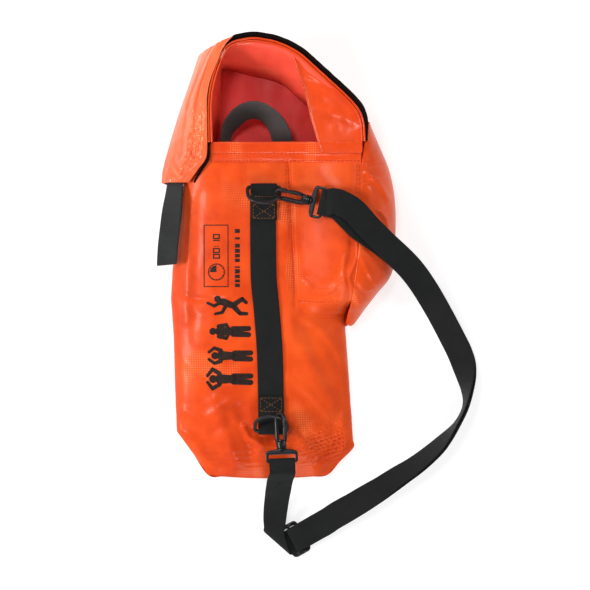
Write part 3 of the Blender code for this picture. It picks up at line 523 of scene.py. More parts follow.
def solid(name, parts, M, mat, body, sharp=35):
    V, F = join(parts)
    if M is not None:
        V = carry(M, V)
    ob = make(name, V, F, V[:, :2], mat, body)
    bm = bmesh.new()
    bm.from_mesh(ob.data)
    bmesh.ops.recalc_face_normals(bm, faces=bm.faces)
    bm.to_mesh(ob.data)
    bm.free()
    ob.data.shade_smooth()
    ob.data.set_sharp_from_angle(angle=math.radians(sharp))
    return ob


def stitches(name, lines, mat, body, r=0.34, length=3.0, gap=1.3):
    """Sewing thread: one small bowed capsule for each stitch along each line of points."""
    parts = []
    for L in lines:
        L = np.array(L, float)
        s = np.r_[0, np.cumsum(np.linalg.norm(np.diff(L, axis=0), axis=1))]
        k = max(1, int(s[-1] // (length + gap)))
        pitch = s[-1] / k
        for i in range(k):
            q = np.linspace(i * pitch + gap / 2, (i + 1) * pitch - gap / 2, 5)
            pts = np.stack([np.interp(q, s, L[:, c]) for c in range(3)], 1)
            pts[:, 2] += np.array([-0.30, 0.0, 0.10, 0.0, -0.30])
            parts.append(sweep(pts, np.array([0.5, 0.95, 1.0, 0.95, 0.5]) * r, n=6))
    V, F = join(parts)
    return make(name, V, F, V[:, :2], mat, body)


# =================================================== camera, floor and light
sc = bpy.context.scene
cam = bpy.data.cameras.new("camera")
cam.sensor_width = 36.0
cam.lens = 36.0 * 2.2 / (590 * 1.13 * MM)
cam.clip_end = 20
co = bpy.data.objects.new("camera", cam)
co.location = (17.4 * MM - CX * MM, -40.0 * MM - CY * MM, 2.2)
co.rotation_euler = (0, 0, 0)
sc.collection.objects.link(co)
sc.camera = co
sc.view_settings.view_transform = "Standard"
sc.view_settings.look = "None"
sc.view_settings.gamma = 0.88

fl = bpy.data.meshes.new("floor")
fl.from_pydata([(-8, -8, -0.0006), (8, -8, -0.0006), (8, 8, -0.0006), (-8, 8, -0.0006)], [], [(0, 1, 2, 3)])
floor = bpy.data.objects.new("floor", fl)
sc.collection.objects.link(floor)
m, nt, b = nodes_of("pale_floor")
b.inputs["Base Color"].default_value = (0.40, 0.40, 0.40, 1)
b.inputs["Emission Color"].default_value = (1, 1, 1, 1)
b.inputs["Emission Strength"].default_value = 0.70
b.inputs["Roughness"].default_value = 0.9
b.inputs["Specular IOR Level"].default_value = 0.1
fl.materials.append(m)

w = bpy.data.worlds.new("studio")
sc.world = w
w.use_nodes = True
wn = w.node_tree
tcw = wn.nodes.new("ShaderNodeTexCoord")
sepw = wn.nodes.new("ShaderNodeSeparateXYZ")
wn.links.new(tcw.outputs["Generated"], sepw.inputs[0])
rw = ramp(wn, [(0.0, (0.55,) * 3), (0.55, (0.55,) * 3), (0.80, (0.30,) * 3), (0.93, (0.06,) * 3)])
wn.links.new(sepw.outputs[2], rw.inputs[0])
wn.links.new(rw.outputs[0], wn.nodes["Background"].inputs[0])
wn.nodes["Background"].inputs[1].default_value = 1.0


def area(name, loc, target, size, energy, size_y=None):
    l = bpy.data.lights.new(name, "AREA")
    l.shape = "RECTANGLE"
    l.size = size
    l.size_y = size_y or size
    l.energy = energy
    o = bpy.data.objects.new(name, l)
    o.location = loc
    d = Vector(target) - Vector(loc)
    o.rotation_euler = d.to_track_quat("-Z", "Y").to_euler()
    sc.collection.objects.link(o)
    return o


area("key_left", (-1.75, -0.15, 1.12), (0, 0.0, 0), 0.55, 28)
area("high", (-0.50, 0.72, 2.2), (0, 0.05, 0), 0.5, 15)
area("key_right", (1.35, 0.75, 1.35), (0.05, 0, 0), 0.35, 8.5, 0.7)
area("fill_low", (0.25, -1.75, 1.15), (0, 0.0, 0), 0.7, 13)

# ========================================================== bag shell tables
LEFT = [(-246, -80), (-243, -80), (-193, -115.5), (-141, -117.5), (-85, -119), (-43, -122), (-10, -120),
        (30, -116.5), (67, -113.5), (95, -102.5), (116, -85), (129, -77)]
RIGHT = [(-246, 53), (-243, 53), (-212, 83), (-203, 82.6), (-141, 78.2), (-74, 73.4), (0, 78), (129, 92)]
CROWN = [(-246, 7), (-225, 17), (-200, 25), (-160, 31), (-120, 36), (-60, 41), (0, 45), (80, 49.5), (129, 56)]
EDGE = [(-246, 6), (-200, 8), (0, 10), (60, 13), (95, 30), (116, 48), (129, 54)]
SEAM = [(-60, 19.5), (160, 9)]
PLATEAU = [(-60, 44), (-44, 50), (-25, 58), (30, 62.5), (80, 61.5), (112, 57.5), (129, 58)]
B_SEAM = [(-74, 75), (-44, 80), (0, 86), (40, 89), (86, 90.5), (108, 91), (140, 92)]
BOX_BOTTOM = -46.0


def main_z(x, y):
    x, y = np.broadcast_arrays(np.asarray(x, float), np.asarray(y, float))
    xl, xr = lin(LEFT, y), lin(RIGHT, y)
    u = np.clip((x - xl) / (xr - xl), 0, 1)
    e = tab(EDGE, y)
    return e + (tab(CROWN, y) - e) * np.maximum(0, 1 - np.abs(2 * u - 1) ** 2.6) ** 0.5


def front_z(x, y):
    """Front of the main compartment with its folds."""
    x, y = np.broadcast_arrays(np.asarray(x, float), np.asarray(y, float))
    xl, xr = lin(LEFT, y), lin(RIGHT, y)
    u = np.clip((x - xl) / (xr - xl), 0, 1)
    rim = step(np.minimum(u, 1 - u) / 0.06)
    z = main_z(x, y)
    web = 1 - 0.75 * np.exp(-((x - lin([(-190, -9.4), (-57, -14), (72, -17.4)], y)) / 17.0) ** 6)
    z = z + rim * web * (2.6 * pn(x / 60, y / 80, 1) + 1.1 * pn(x / 26, y / 44, 2) + 0.32 * pn(x / 10, y / 15, 3))
    # soft diagonal folds right of the strap and broad lobes at the foot
    z = z + 1.6 * ridge(x, y, [(14, -70), (34, -120), (62, -168), (80, -190)], 9.0) * rim
    z = z - 1.5 * ridge(x, y, [(30, -80), (50, -125), (74, -165)], 9.0) * rim
    z = z + 3.2 * ridge(x, y, [(-74, -158), (-62, -190), (-48, -226)], 8.0) * rim
    z = z - 2.8 * ridge(x, y, [(-44, -166), (-38, -192), (-30, -220)], 7.0) * rim
    z = z + 2.2 * ridge(x, y, [(26, -190), (38, -212), (44, -232)], 6.0) * rim - 1.8 * ridge(x, y, [(66, -170), (58, -196), (66, -222)], 6.0) * rim
    z = z + 1.4 * ridge(x, y, [(-112, -110), (-80, -128), (-58, -134)], 7.0) * rim
    z = z - 1.2 * ridge(x, y, [(-112, -40), (-90, -60), (-60, -66)], 7.0) * rim
    # creases at the foot, right of the lower ring
    m = spot(x, y, 54, -206, 30, 17) * rim
    w_ = np.sin((y - 0.28 * x) * math.pi / 4.4 + 1.1 * pn(x / 16, y / 9, 5))
    z = z - 2.6 * m * (1 - np.abs(w_)) ** 3 * 2.0
    z = z + 0.5 * spot(x, y, -30, -222, 42, 14) * np.sin(y * 2 * math.pi / 6.5 + 2.2 * pn(x / 16, y / 9, 6))
    # pucker below the lower ring and tension folds from it
    z = z - 2.4 * spot(x, y, -4, -203, 24, 6.0, 4) + 0.9 * spot(x, y, 4, -215, 30, 4.5, -5)
    z = z + 4.4 * ridge(x, y, [(-40, -186), (-34, -199), (-18, -208), (6, -211)], 3.4) - 2.4 * ridge(x, y, [(-29, -188), (-21, -197), (-6, -201)], 2.8)
    for ang, amp, ln in ((-152, 1.0, 60), (-120, 0.8, 42), (-60, 0.9, 45), (-25, 1.1, 62), (150, 0.7, 50), (28, 0.8, 56)):
        a = math.radians(ang)
        p = [(-8 + 16 * math.cos(a), -196 + 10 * math.sin(a)), (-8 + ln * math.cos(a), -196 + 0.75 * ln * math.sin(a))]
        z = z + amp * ridge(x, y, p, 3.2) * rim
    z = z + 1.5 * ridge(x, y, [(-112, -168), (-84, -178), (-58, -160)], 5.0) * rim - 1.4 * ridge(x, y, [(-110, -182), (-82, -196), (-56, -182)], 6.0) * rim
    z = z + 1.0 * ridge(x, y, [(10, -130), (34, -150), (56, -176), (78, -186)], 4.0) * rim
    z = z + 1.3 * ridge(x, y, [(-118, -34), (-96, -44), (-60, -46)], 3.5) * rim * web
    # folds that run from the chamfered corners
    z = z + 1.2 * ridge(x, y, [(-104, -196), (-84, -222), (-70, -236)], 4.0) * rim
    z = z - 0.9 * ridge(x, y, [(-96, -188), (-78, -212), (-60, -228)], 5.0) * rim
    z = z + 2.6 * ridge(x, y, [(76, -206), (62, -222), (46, -236)], 3.2) * rim - 1.8 * ridge(x, y, [(68, -202), (56, -216), (40, -229)], 3.2) * rim
    # long soft folds down the left side and beside the seam
    z = z + 1.0 * ridge(x, y, [(-98, 60), (-102, 0), (-104, -70)], 5.0) - 0.9 * ridge(x, y, [(-88, 70), (-92, 0), (-95, -90)], 6.0)
    z = z + 0.9 * ridge(x, y, [(2, 95), (5, 30), (10, -40), (14, -90)], 5.0)
    sm = step((y + 60) / 10)
    z = z - 1.1 * np.exp(-((x - lin(SEAM, y) + 1.2) / 2.0) ** 2) * sm
    z = z + 0.8 * ridge(x, y, [(20, -62), (45, -75), (70, -110)], 4.5) - 0.7 * ridge(x, y, [(22, -70), (50, -92), (72, -130)], 5.5)
    return z


def comp_z(x, y):
    """Front of the side compartment, running down to the main panel at its foot."""
    x, y = np.broadcast_arrays(np.asarray(x, float), np.asarray(y, float))
    xs, xb = lin(SEAM, y), tab(B_SEAM, y)
    z0 = main_z(xs, y) + 0.5
    p = tab(PLATEAU, np.maximum(y, -44))
    t = (x - xs) / 60.0
    z = z0 + (p - z0) * (step(t) * 0.76 + 0.24 * step(t * 1.35))
    z = z - 2.5 * step((x - xb + 14) / 14.0)
    z = z + 0.9 * pn(x / 40, y / 50, 11) + 0.30 * pn(x / 16, y / 22, 12)
    # rounded dome of the box with the puckers at its lower corners
    z = z - 0.5 * ridge(x, y, [(24, 30), (25, -10), (27, -34)], 6.0)
    z = z + 1.7 * ridge(x, y, [(29, -24), (38, -36), (56, -36), (70, -24)], 3.6)
    z = z - 1.3 * ridge(x, y, [(33, -20), (44, -29), (58, -28), (68, -14)], 6.0)
    z = z + 1.5 * ridge(x, y, [(86, 18), (86, 2), (81, -11), (77, -21), (81, -34)], 1.8)
    z = z - 1.1 * ridge(x, y, [(79, 18), (78, 2), (74, -12)], 3.0)
    z = z + 1.0 * ridge(x, y, [(72, 2), (70, -16), (73, -30)], 2.2)
    z = z + 0.8 * ridge(x, y, [(30, -30), (36, -38), (50, -40), (62, -34)], 1.6)
    z = z - 1.0 * np.exp(-((y + 46.5) / 1.6) ** 2) - 0.7 * np.exp(-((x - xs - 1.0) / 1.6) ** 2)
    k = np.clip((y + 61.0) / 15.5, 0, 1)
    low = main_z(x, np.maximum(y, -66)) + 0.5
    return low + (z - low) * (0.45 * step(k) + 0.55 * k ** 0.8)


def surf_z(x, y):
    """Whatever lies on top at (x, y): main panel or side compartment."""
    x, y = np.broadcast_arrays(np.asarray(x, float), np.asarray(y, float))
    on = (x > lin(SEAM, y)) & (y > -65)
    return np.where(on, comp_z(x, y), front_z(x, y))


# ------------------------------------------------------------ front of the bag
NU, NV = 170, 250
vv = np.linspace(0, 1, NV)[:, None]
uu = (0.5 - 0.5 * np.cos(np.pi * np.linspace(0, 1, NU)))[None, :]
Y = -242.9 + vv * (128.5 + 242.9) + 0 * uu
X = lin(LEFT, Y) + (lin(RIGHT, Y) - lin(LEFT, Y)) * uu
Yb = Y - 3.4 * (1 - (2 * uu - 1) ** 2) * (1 - vv) ** 8
G = np.stack([X, Yb, front_z(X, Y)], 2)
keep = ~((X > lin(SEAM, Y) + 9) & (Y > -42))
front = sheet("front_fabric", G, [ORANGE, LINING], "bag", 1.1, -1.0, keep=keep)
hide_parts("front_panel")


def wall_grid(top, low, n, bulge=1.2, out=None):
    t = np.linspace(0, 1, n)[None, :, None]
    G = low[:, None, :] * (1 - t) + top[:, None, :] * t
    if out is not None:
        G = G + out[:, None, :] * (np.sin(np.pi * t) * bulge)
    return G


def edge_wall(name, tabl, y0, y1, n, sgn, node):
    ys = np.linspace(y0, y1, n)
    x = lin(tabl, ys)
    top = np.stack([x, ys, tab(EDGE, ys) + 0.2], 1)
    low = np.stack([x - sgn * 1.6, ys, 0 * ys + 1.1], 1)
    out = np.stack([0 * ys + sgn, 0 * ys, 0 * ys], 1)
    g = wall_grid(top, low, 8, 1.0, out)
    g[..., 0] += 0.5 * pn(g[..., 1] / 13, g[..., 2] / 9, 21) * np.sin(np.pi * np.linspace(0, 1, 8))[None, :]
    ob = sheet(name, g, [SIDE, LINING], "bag", 1.0, -1.0, flip=sgn > 0)
    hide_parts(node)


edge_wall("left_side_fabric", LEFT, -194, 128.5, 150, -1, "left_gusset")
edge_wall("right_side_fabric", RIGHT, -204, -70, 70, 1, "right_gusset")
bl = track([(-115.5, -193.5, 0), (-98, -217.5, 0), (-80, -243, 0), (-60, -244.3, 0), (-14, -246, 0), (30, -244.3, 0), (53, -243, 0),
            (68, -227.5, 0), (83, -212, 0), (82.6, -203.5, 0)], 120, 0.0)
nrm_ = np.cross(tangents(bl), [0, 0, 1.0])
bt_ = bl.copy()
bt_[:, 2] = tab(EDGE, bl[:, 1]) + 0.3
g = wall_grid(bt_, bl + [0, 0, 1.1] - nrm_ * 1.2, 8, 0.8, nrm_)
ob = sheet("foot_fabric", g, [SIDE, LINING], "bag", 1.0, -1.0, flip=True)
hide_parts("bottom_gusset")

# ------------------------------------------------------------------ back panel
BACK_L = [(-243.5, -80), (-193, -114.2), (-141, -116), (-85, -117.5), (-43, -120.5), (-10, -118.5), (30, -114.5),
          (67, -109.5), (95, -97), (116, -83), (131, -75.5), (218, -65.6)]
BACK_R = [(-243.5, 51.5), (-211, 82), (-203, 81.5), (-141, 78), (-76, 72.5), (-72.6, 82), (-55.6, 94.0), (-39, 106.0),
          (-13, 125), (36, 129), (71, 127), (100, 121), (118, 113), (131, 106), (140, 84), (158, 54), (181, 26.7), (198.7, 6),
          (204.5, -10), (211, -38), (218, -62)]
Yk = np.linspace(-243.5, 217.8, 230)[:, None] + np.zeros((1, 90))
uk = np.linspace(0, 1, 90)[None, :]
Xk = lin(BACK_L, Yk) + (lin(BACK_R, Yk) - lin(BACK_L, Yk)) * uk
edge_ = step(np.minimum(uk, 1 - uk) / 0.05)
Zk = 1.25 + edge_ * np.clip(0.5 + 1.1 * pn(Xk / 40, Yk / 50, 31) + 0.5 * pn(Xk / 17, Yk / 21, 32), 0, 3)
top_ = np.stack([Xk, Yk, Zk], 2)
inner = sheet("back_inside", top_, LINING, "bag", 0.5, -1.0)
low_ = np.stack([Xk, Yk, 0 * Zk + 0.05], 2)
outer = sheet("back_fabric", low_, ORANGE, "bag", 0.55, 1.0, flip=False)
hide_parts("back_panel")

# --------------------------------------------------------- side compartment
NU, NV = 90, 190
Y = np.linspace(-66, 107, NV)[:, None] + np.zeros((1, NU))
u = np.linspace(0, 1, NU)[None, :]
x0, x1 = lin(SEAM, Y) - 0.6, np.where(Y > -46, tab(B_SEAM, Y), tab(B_SEAM, Y) - (-46 - Y) * 0.25)
X = x0 + (x1 - x0) * u
G = np.stack([X, Y, comp_z(X, Y)], 2)
comp = sheet("compartment_fabric", G, [ORANGE, LINING], "bag", 1.1, -1.0)
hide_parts("compartment_front", "compartment_bottom")

SIL = [(76, -74.0, 9), (83.0, -73.6, 10), (95.4, -56.8, 12), (108.6, -39.6, 13), (126.8, -13.4, 14), (130.4, 36, 14),
       (129, 71, 14), (123, 100, 14), (112, 127, 15), (100.5, 152, 20)]
SEAM3 = [(74, -72, 17), (76.5, -60, 36), (80, -46, 47), (86, 0, 59.5), (89, 40, 61), (90.5, 86, 60), (91, 108, 56.5),
         (92.5, 119, 57), (93.5, 125, 58), (96, 140, 60), (98.5, 150, 58)]
NS = 230
sil, seam3 = track(SIL, NS, 0.0), track(SEAM3, NS, 0.0)
on = seam3[:, 1] > -46
seam3[on, 2] = np.where(seam3[on, 1] < 107, comp_z(tab(B_SEAM, seam3[on, 1]), seam3[on, 1]), seam3[on, 2])
seam3[on & (seam3[:, 1] < 107), 0] = tab(B_SEAM, seam3[on & (seam3[:, 1] < 107), 1])
NT = 60
tt = np.linspace(0, 1, NT)
G = np.zeros((NS, NT, 3))
for j, t in enumerate(tt):
    if t <= 0.82:
        q = math.sin(t / 0.82 * math.pi / 2)
        G[:, j, :2] = seam3[:, :2] + (sil[:, :2] - seam3[:, :2]) * q
        G[:, j, 2] = sil[:, 2] + (seam3[:, 2] - sil[:, 2]) * max(0.0, 1 - q ** 2.2) ** 0.6
    else:
        q = (t - 0.82) / 0.18
        d = sil[:, :2] - [60, 40]
        d = d / np.linalg.norm(d, axis=1)[:, None]
        G[:, j, :2] = sil[:, :2] - 3.0 * q * d
        G[:, j, 2] = sil[:, 2] + (1.1 - sil[:, 2]) * q
x, y = G[..., 0], G[..., 1]
fade = np.sin(np.pi * np.clip(tt / 0.9, 0, 1))[None, :] ** 0.5
dz = (1.2 * pn(x / 34, y / 40, 41) + 0.5 * pn(x / 13, y / 16, 42)
      + 2.2 * ridge(x, y, [(96, 96), (110, 84), (122, 66)], 3.0) - 1.4 * ridge(x, y, [(94, 88), (107, 76), (118, 58)], 3.4)
      + 1.8 * ridge(x, y, [(92, 82), (104, 86), (122, 90)], 2.2) - 1.4 * ridge(x, y, [(98, 104), (116, 104)], 1.2)
      + 1.9 * ridge(x, y, [(112, 52), (119, 44), (121, 34)], 2.6) - 1.2 * ridge(x, y, [(106, 50), (113, 42), (115, 32)], 2.4)
      + 2.6 * ridge(x, y, [(80, -38), (90, -50), (96, -60)], 2.6) - 2.2 * ridge(x, y, [(84, -30), (98, -44), (104, -52)], 3.2)
      - 2.0 * ridge(x, y, [(82, -44), (84, -58), (90, -70)], 2.6)
      + 2.2 * ridge(x, y, [(88, 6), (99, -16), (110, -30)], 3.0) - 1.6 * ridge(x, y, [(90, 22), (104, 2), (118, -14)], 3.6)
      + 1.3 * ridge(x, y, [(92, 30), (110, 14), (126, 10)], 2.4))
G[..., 2] += dz * fade * (tt < 0.86)[None, :]
side_ = sheet("compartment_side_fabric", G, [SIDE, LINING], "bag", 1.1, -1.0, flip=False)
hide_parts("compartment_gusset")

# --------------------------------------------------------------- mouth hem
NU, NV = 170, 26
v = np.linspace(0, 1, NV)[:, None]
X = np.linspace(-75.5, 90.5, NU)[None, :] + 0 * v
Y = 106.2 + (128.8 - 106.2) * v + 0 * X
base = np.where(X > lin(SEAM, np.minimum(Y, 106)), comp_z(X, np.minimum(Y, 106.5)), front_z(X, np.minimum(Y, 128)))
base = np.maximum(base, main_z(X, np.minimum(Y, 128.5)))
hz = tab([(-75, 56.2), (-55, 58.5), (-10, 59.3), (20, 59.6), (45, 60.4), (90, 60.6)], X)
Z = np.maximum(base + 0.9, (base + 0.9) * (1 - v) + (hz + 0.6) * v)
Z = Z + 0.5 * pn(X / 22, Y / 12, 51) + 0.3 * pn(X / 9, Y / 7, 52)
for yy in (115.6, 107.8):
    Z = Z - 0.7 * np.exp(-((Y - yy) / 1.2) ** 2)
Z[-3:, :] += np.array([0.3, 0.5, -0.6])[:, None]
G = np.stack([X, Y, Z], 2)
hemo = sheet("mouth_hem_fabric", G, [HOODP, LINING], "bag", 2.2, -1.0)
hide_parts("mouth_hem")
HEM_Z, HNU, HNV = Z, NU, NV


def hem_z(x, y):
    x, y = np.asarray(x, float), np.asarray(y, float)
    fx = np.clip((x + 75.5) / 166.0 * (HNU - 1), 0, HNU - 1.001)
    fy = np.clip((y - 106.2) / 22.6 * (HNV - 1), 0, HNV - 1.001)
    i, j = fx.astype(int), fy.astype(int)
    a, b_ = fx - i, fy - j
    return (HEM_Z[j, i] * (1 - a) * (1 - b_) + HEM_Z[j, i + 1] * a * (1 - b_) + HEM_Z[j + 1, i] * (1 - a) * b_ + HEM_Z[j + 1, i + 1] * a * b_)


# ------------------------------------------------------ rim, wall and cover
FOOT = [(-74, 130.5), (-70, 165), (-67, 195), (-64, 215), (-50, 213), (-38, 209.5), (-10, 203), (5, 197), (24.7, 179.5),
        (50, 156.5), (75, 138), (86, 130)]
RIM = [(-74.5, 128, 59.5), (-75, 152, 62.5), (-75, 178, 63.5), (-71.5, 196, 64), (-63, 220, 64), (-54, 233, 64),
       (-37.5, 239, 64), (-19, 239, 64), (1, 234.5, 64), (18.5, 225.5, 64), (47, 200.5, 64), (72, 177.5, 63.5),
       (86.5, 161, 63), (91, 147, 62.5), (92, 129, 61.5)]
N = 260
rim = track(RIM, N)
foot = track([(x, y, 0) for x, y in FOOT], N)
tn = tangents(rim)
nrm = np.stack([-tn[:, 1], tn[:, 0], 0 * tn[:, 0]], 1)
nrm /= np.linalg.norm(nrm, axis=1)[:, None]
sr = np.r_[0, np.cumsum(np.linalg.norm(np.diff(rim, axis=0), axis=1))]
rim = rim + nrm * (0.9 * pn(sr / 26, 0.5, 61) + 0.35 * pn(sr / 9, 0.5, 62))[:, None]


def at(d, z):
    p = rim + nrm * d
    p[:, 2] = z if np.isscalar(z) else z
    return p


NT = 34
t = np.linspace(0, 1, NT)[None, :, None]
ft = foot.copy()
ft[:, 2] = 1.2
tp = rim - nrm * 0.6
tp[:, 2] = rim[:, 2] - 1.4
G = ft[:, None, :] * (1 - t) + tp[:, None, :] * t
rise = np.sin(np.pi / 2 * t[..., 0]) ** 0.85
G[..., 2] = ft[:, None, 2] * (1 - rise) + tp[:, None, 2] * rise
q = np.sin(np.pi * t[..., 0])
wob = 3.0 * pn(sr[:, None] / 46, t[..., 0] * 1.7, 63) + 1.3 * pn(sr[:, None] / 17, t[..., 0] * 3.0, 64)
G = G + nrm[:, None, :] * (wob * q * 0.9 + 2.5 * q)[..., None]
gw = sheet("mouth_wall_fabric", G, [WALL_PAINTED_LIGHTER, ORANGE], "bag", 1.0, 1.0, flip=True)
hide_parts("top_gusset")

pa = sweep(at(-0.7, rim[:, 2] + 0.4), 1.25, n=12)
pb = sweep(at(2.1, rim[:, 2] + 0.9), 1.25, n=12)
pp_ = solid("rim_piping_fabric", [pa, pb], None, HOODP, "bag", sharp=60)
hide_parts("rim_piping")

K0 = int(np.argmax((rim[:, 0] > -56) & (rim[:, 1] > 200)))
ti = at(3.0, 60.5)[K0:]
to = at(8.0, 67.6)[K0:]
M_ = len(ti)
e1 = np.linspace(0, 1, M_)
narrow = np.minimum(step(e1 / 0.06) * 0.5 + 0.5, 1 - 0.55 * step((e1 - 0.80) / 0.2))
to = ti + (to - ti) * narrow[:, None]
t = np.linspace(0, 1, 9)[None, :, None]
G = ti[:, None, :] * (1 - t) + to[:, None, :] * t
G[..., 2] += 0.8 * np.sin(np.pi * t[..., 0])
ot = sheet("cover_hook_tape_strip", G, HOOK, "bag", 1.4, 1.0)
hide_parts("cover_hook_tape")

bt = to - nrm[K0:] * 0.9
bt[:, 2] = to[:, 2] - 2.6
bm2 = (rim + nrm * 4.8)[K0:]
bm2[:, 2] = 46
fo = foot[K0:]
lo_ = fo + (bm2 - fo) * 0.25
lo_[:, 2] = 1.4
k_ = step((np.arange(M_) - M_ + M_ * 0.22) / (M_ * 0.22))
lo_[:, :2] += k_[:, None] * np.array([13.0, -3.0])
lo_[:, 2] += 8 * k_
bm2[:, :2] += k_[:, None] * np.array([5.0, 0.0])
t = np.linspace(0, 1, 26)
G = np.zeros((M_, 26, 3))
for j, a in enumerate(t):
    if a < 0.55:
        s_ = a / 0.55
        G[:, j] = lo_ * (1 - s_) + bm2 * s_
    else:
        s_ = (a - 0.55) / 0.45
        G[:, j] = bm2 * (1 - s_) + bt * s_
G += nrm[K0:][:, None, :] * ((0.9 * pn(sr[K0:][:, None] / 24, t[None, :] * 2.2, 65)) * np.sin(np.pi * t)[None, :])[..., None]
bo = sheet("cover_fabric", G, [COVER_PAINTED_LIGHTER, SIDE], "bag", 1.1, -1.0, flip=True)
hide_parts("cover_band")

# panel beside the mouth that closes the hood compartment
PL_ = [(46.5, 116.5, 61.6), (36.5, 148, 61.6), (29.5, 177, 61.2), (22.5, 202, 61.4), (16.5, 224, 62.2)]
pl = track(PL_, 90)
yy = pl[:, 1]
right_i = int(np.argmax(rim[:, 1] * 0 + rim[:, 0] > 17))
rr_ = rim[right_i:][::-1].copy()
rr_ = np.vstack([[91.5, 116.5, 61.3], rr_])
pr = track([tuple(p) for p in rr_[::6]] + [tuple(rim[right_i])], 90)
t = np.linspace(0, 1, 60)[None, :]
G = pl[:, None, :] * (1 - t[..., None]) + pr[:, None, :] * t[..., None]
vv_ = np.linspace(0, 1, 90)[:, None]
dome = np.sin(np.pi * t) * np.sin(np.pi * np.clip((vv_ - 0.12) / 0.88, 0, 1))
x, y = G[..., 0], G[..., 1]
G[..., 2] += -3.4 * dome + 1.4 * ridge(x, y, [(30, 196), (60, 184), (80, 168)], 5.0) * dome * 1.3 - 1.2 * ridge(x, y, [(40, 166), (62, 158), (82, 150)], 6.0)
G[..., 2] += (0.9 * pn(x / 20, y / 26, 71) + 0.4 * pn(x / 9, y / 11, 72)) * np.clip(dome * 3, 0, 1)
G[..., 2] += 0.9 * np.exp(-(t / 0.035) ** 2)
low_rows = step((124 - y) / 8)
G[..., 2] = np.where(y < 128.5, np.maximum(G[..., 2], hem_z(x, np.minimum(y, 128)) + 1.0), G[..., 2])
ph = sheet("hood_panel_fabric", G, [HOODP, LINING], "bag", 1.0, -1.0)
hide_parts("hood_pocket_panel")

# ------------------------------------------------------------------- webbing
SPINE = [(-185, -9.4), (-153, -9.5), (-111, -10.3), (-57, -14), (-16, -17.5), (41, -18), (72, -17.4)]


def on_front(x, y, half=14.0):
    return np.max([front_z(x + d, y) for d in np.linspace(-half, half, 9)], axis=0)


ys = np.linspace(-189.5, 77, 300)
xs = tab(SPINE, ys)
zz = on_front(xs, ys)
kern = np.ones(9) / 9
zz = np.convolve(np.pad(zz, 4, mode="edge"), kern, mode="valid")
C = np.stack([xs, ys, zz + 0.35 + WEB_T / 2], 1)
sp_ = webbing("spine_strap", C, [[-1, 0, 0]] * 300, "bag")
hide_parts("spine_webbing")
SPINE_TOP = lambda y: np.interp(y, ys, zz) + 0.35 + WEB_T

UP_BAR, LO_BAR = (-17.0, 79.0), (-9.3, -191.4)
UP_Z = float(max(main_z(-17 + d, 79) for d in (-15, 0, 15)) + 6.3)
LO_Z = float(max(main_z(-9.3 + d, -185) for d in (-15, 0, 15)) + 6.3)
RING_R, RING_HALF, RING_DEEP, ROD_R, HOOK_Y = 1.9, 17.8, 23.0, 2.4, 7.4


def tab_piece(name, bar, z, sgn, node, length=36.5):
    x0, y0 = bar
    R = RING_R + 0.45 + WEB_T / 2
    pts = []
    for d in np.linspace(length, 13, 12):
        y = y0 + sgn * d
        pts.append((x0 if sgn < 0 else x0, y, float(SPINE_TOP(y)) + 0.15 + WEB_T / 2))
    f = pts[-1][2]
    for k in range(1, 7):
        t_ = k / 7
        pts.append((x0, y0 + sgn * (13 - 13 * t_), f + (z + R - f) * float(step(t_))))
    for k in range(13):
        a = math.pi * k / 12
        pts.append((x0, y0 - sgn * R * math.sin(a), z + R * math.cos(a)))
    pts += [(x0, y0 + sgn * 2.5, z - R), (x0, y0 + sgn * 5.5, z - R - 0.6)]
    Q = track([(p[0], p[1], p[2]) for p in pts], 120)
    ob = webbing(name, Q, [[sgn * 1.0, 0, 0]] * len(Q), "bag")
    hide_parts(node)
    return Q


tu = tab_piece("upper_ring_tab_webbing", UP_BAR, UP_Z, -1, "upper_ring_tab")
tl = tab_piece("lower_ring_tab_webbing", LO_BAR, LO_Z, +1, "lower_ring_tab", 38.5)

LOOP = [(-60, 84, 2.9, 1, 0, 0), (-60, 98, 4.5, 0.95, 0, -0.2), (-60, 116, 15, 0.6, 0, -0.8), (-60, 134, 23, 0.40, 0.02, -0.92),
        (-53, 151, 29, 0.45, -0.42, -0.79), (-40, 163, 33, 0.1, -0.7, -0.7), (-26, 166, 33, -0.15, -0.7, -0.7),
        (-11, 159, 31, -0.55, -0.5, -0.67), (0, 144, 27, -0.86, -0.15, -0.45), (4.5, 124, 18, -0.97, 0, -0.2),
        (4.5, 104, 6, -1, 0, 0), (4, 90, 2.9, -1, 0, 0), (4, 78, 2.9, -1, 0, 0)]
lp = track(LOOP, 160)
ls_ = webbing("inner_lifting_loop", lp[:, :3], lp[:, 3:6], "bag", width=25, mat=WEB_IN)
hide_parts("inner_strap")

# ------------------------------------------------------------------ hardware
UP_TILT, LO_TILT = math.radians(37), math.radians(40)


def ring(name, bar, z, sgn, tilt, body, node):
    pts, h, c = [], RING_HALF, 3.0
    for k in range(9):
        a = math.radians(-90 + 90 * k / 8)
        pts.append((h - c + c * math.cos(a), c + c * math.sin(a)))
    for k in range(49):
        a = math.pi * k / 48
        pts.append((h * math.cos(a), 8 + (RING_DEEP - 8) * math.sin(a)))
    for k in range(9):
        a = math.radians(180 + 90 * k / 8)
        pts.append((-h + c + c * math.cos(a), c + c * math.sin(a)))
    q = track([(a, b_, 0) for a, b_ in pts] + [(pts[0][0], pts[0][1], 0)], 130)[:-1]
    F_ = frame_of((bar[0], bar[1], z), (sgn * 1.0, 0, 0), (0, sgn * math.cos(tilt), math.sin(tilt)))
    ob = solid(name, [sweep(q, RING_R, RING_R * 0.94, closed=True, n=18, power=2.4)], F_, ACETAL, body)
    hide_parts(node)


ring("upper_ring", UP_BAR, UP_Z, -1, UP_TILT, "upper_ring", "upper_d_ring")
ring("lower_ring", LO_BAR, LO_Z, +1, LO_TILT, "lower_ring", "lower_d_ring")


def ring_point(bar, z, sgn, tilt, x, y):
    return np.array([bar[0] + x, bar[1] + sgn * math.cos(tilt) * y, z + math.sin(tilt) * y])


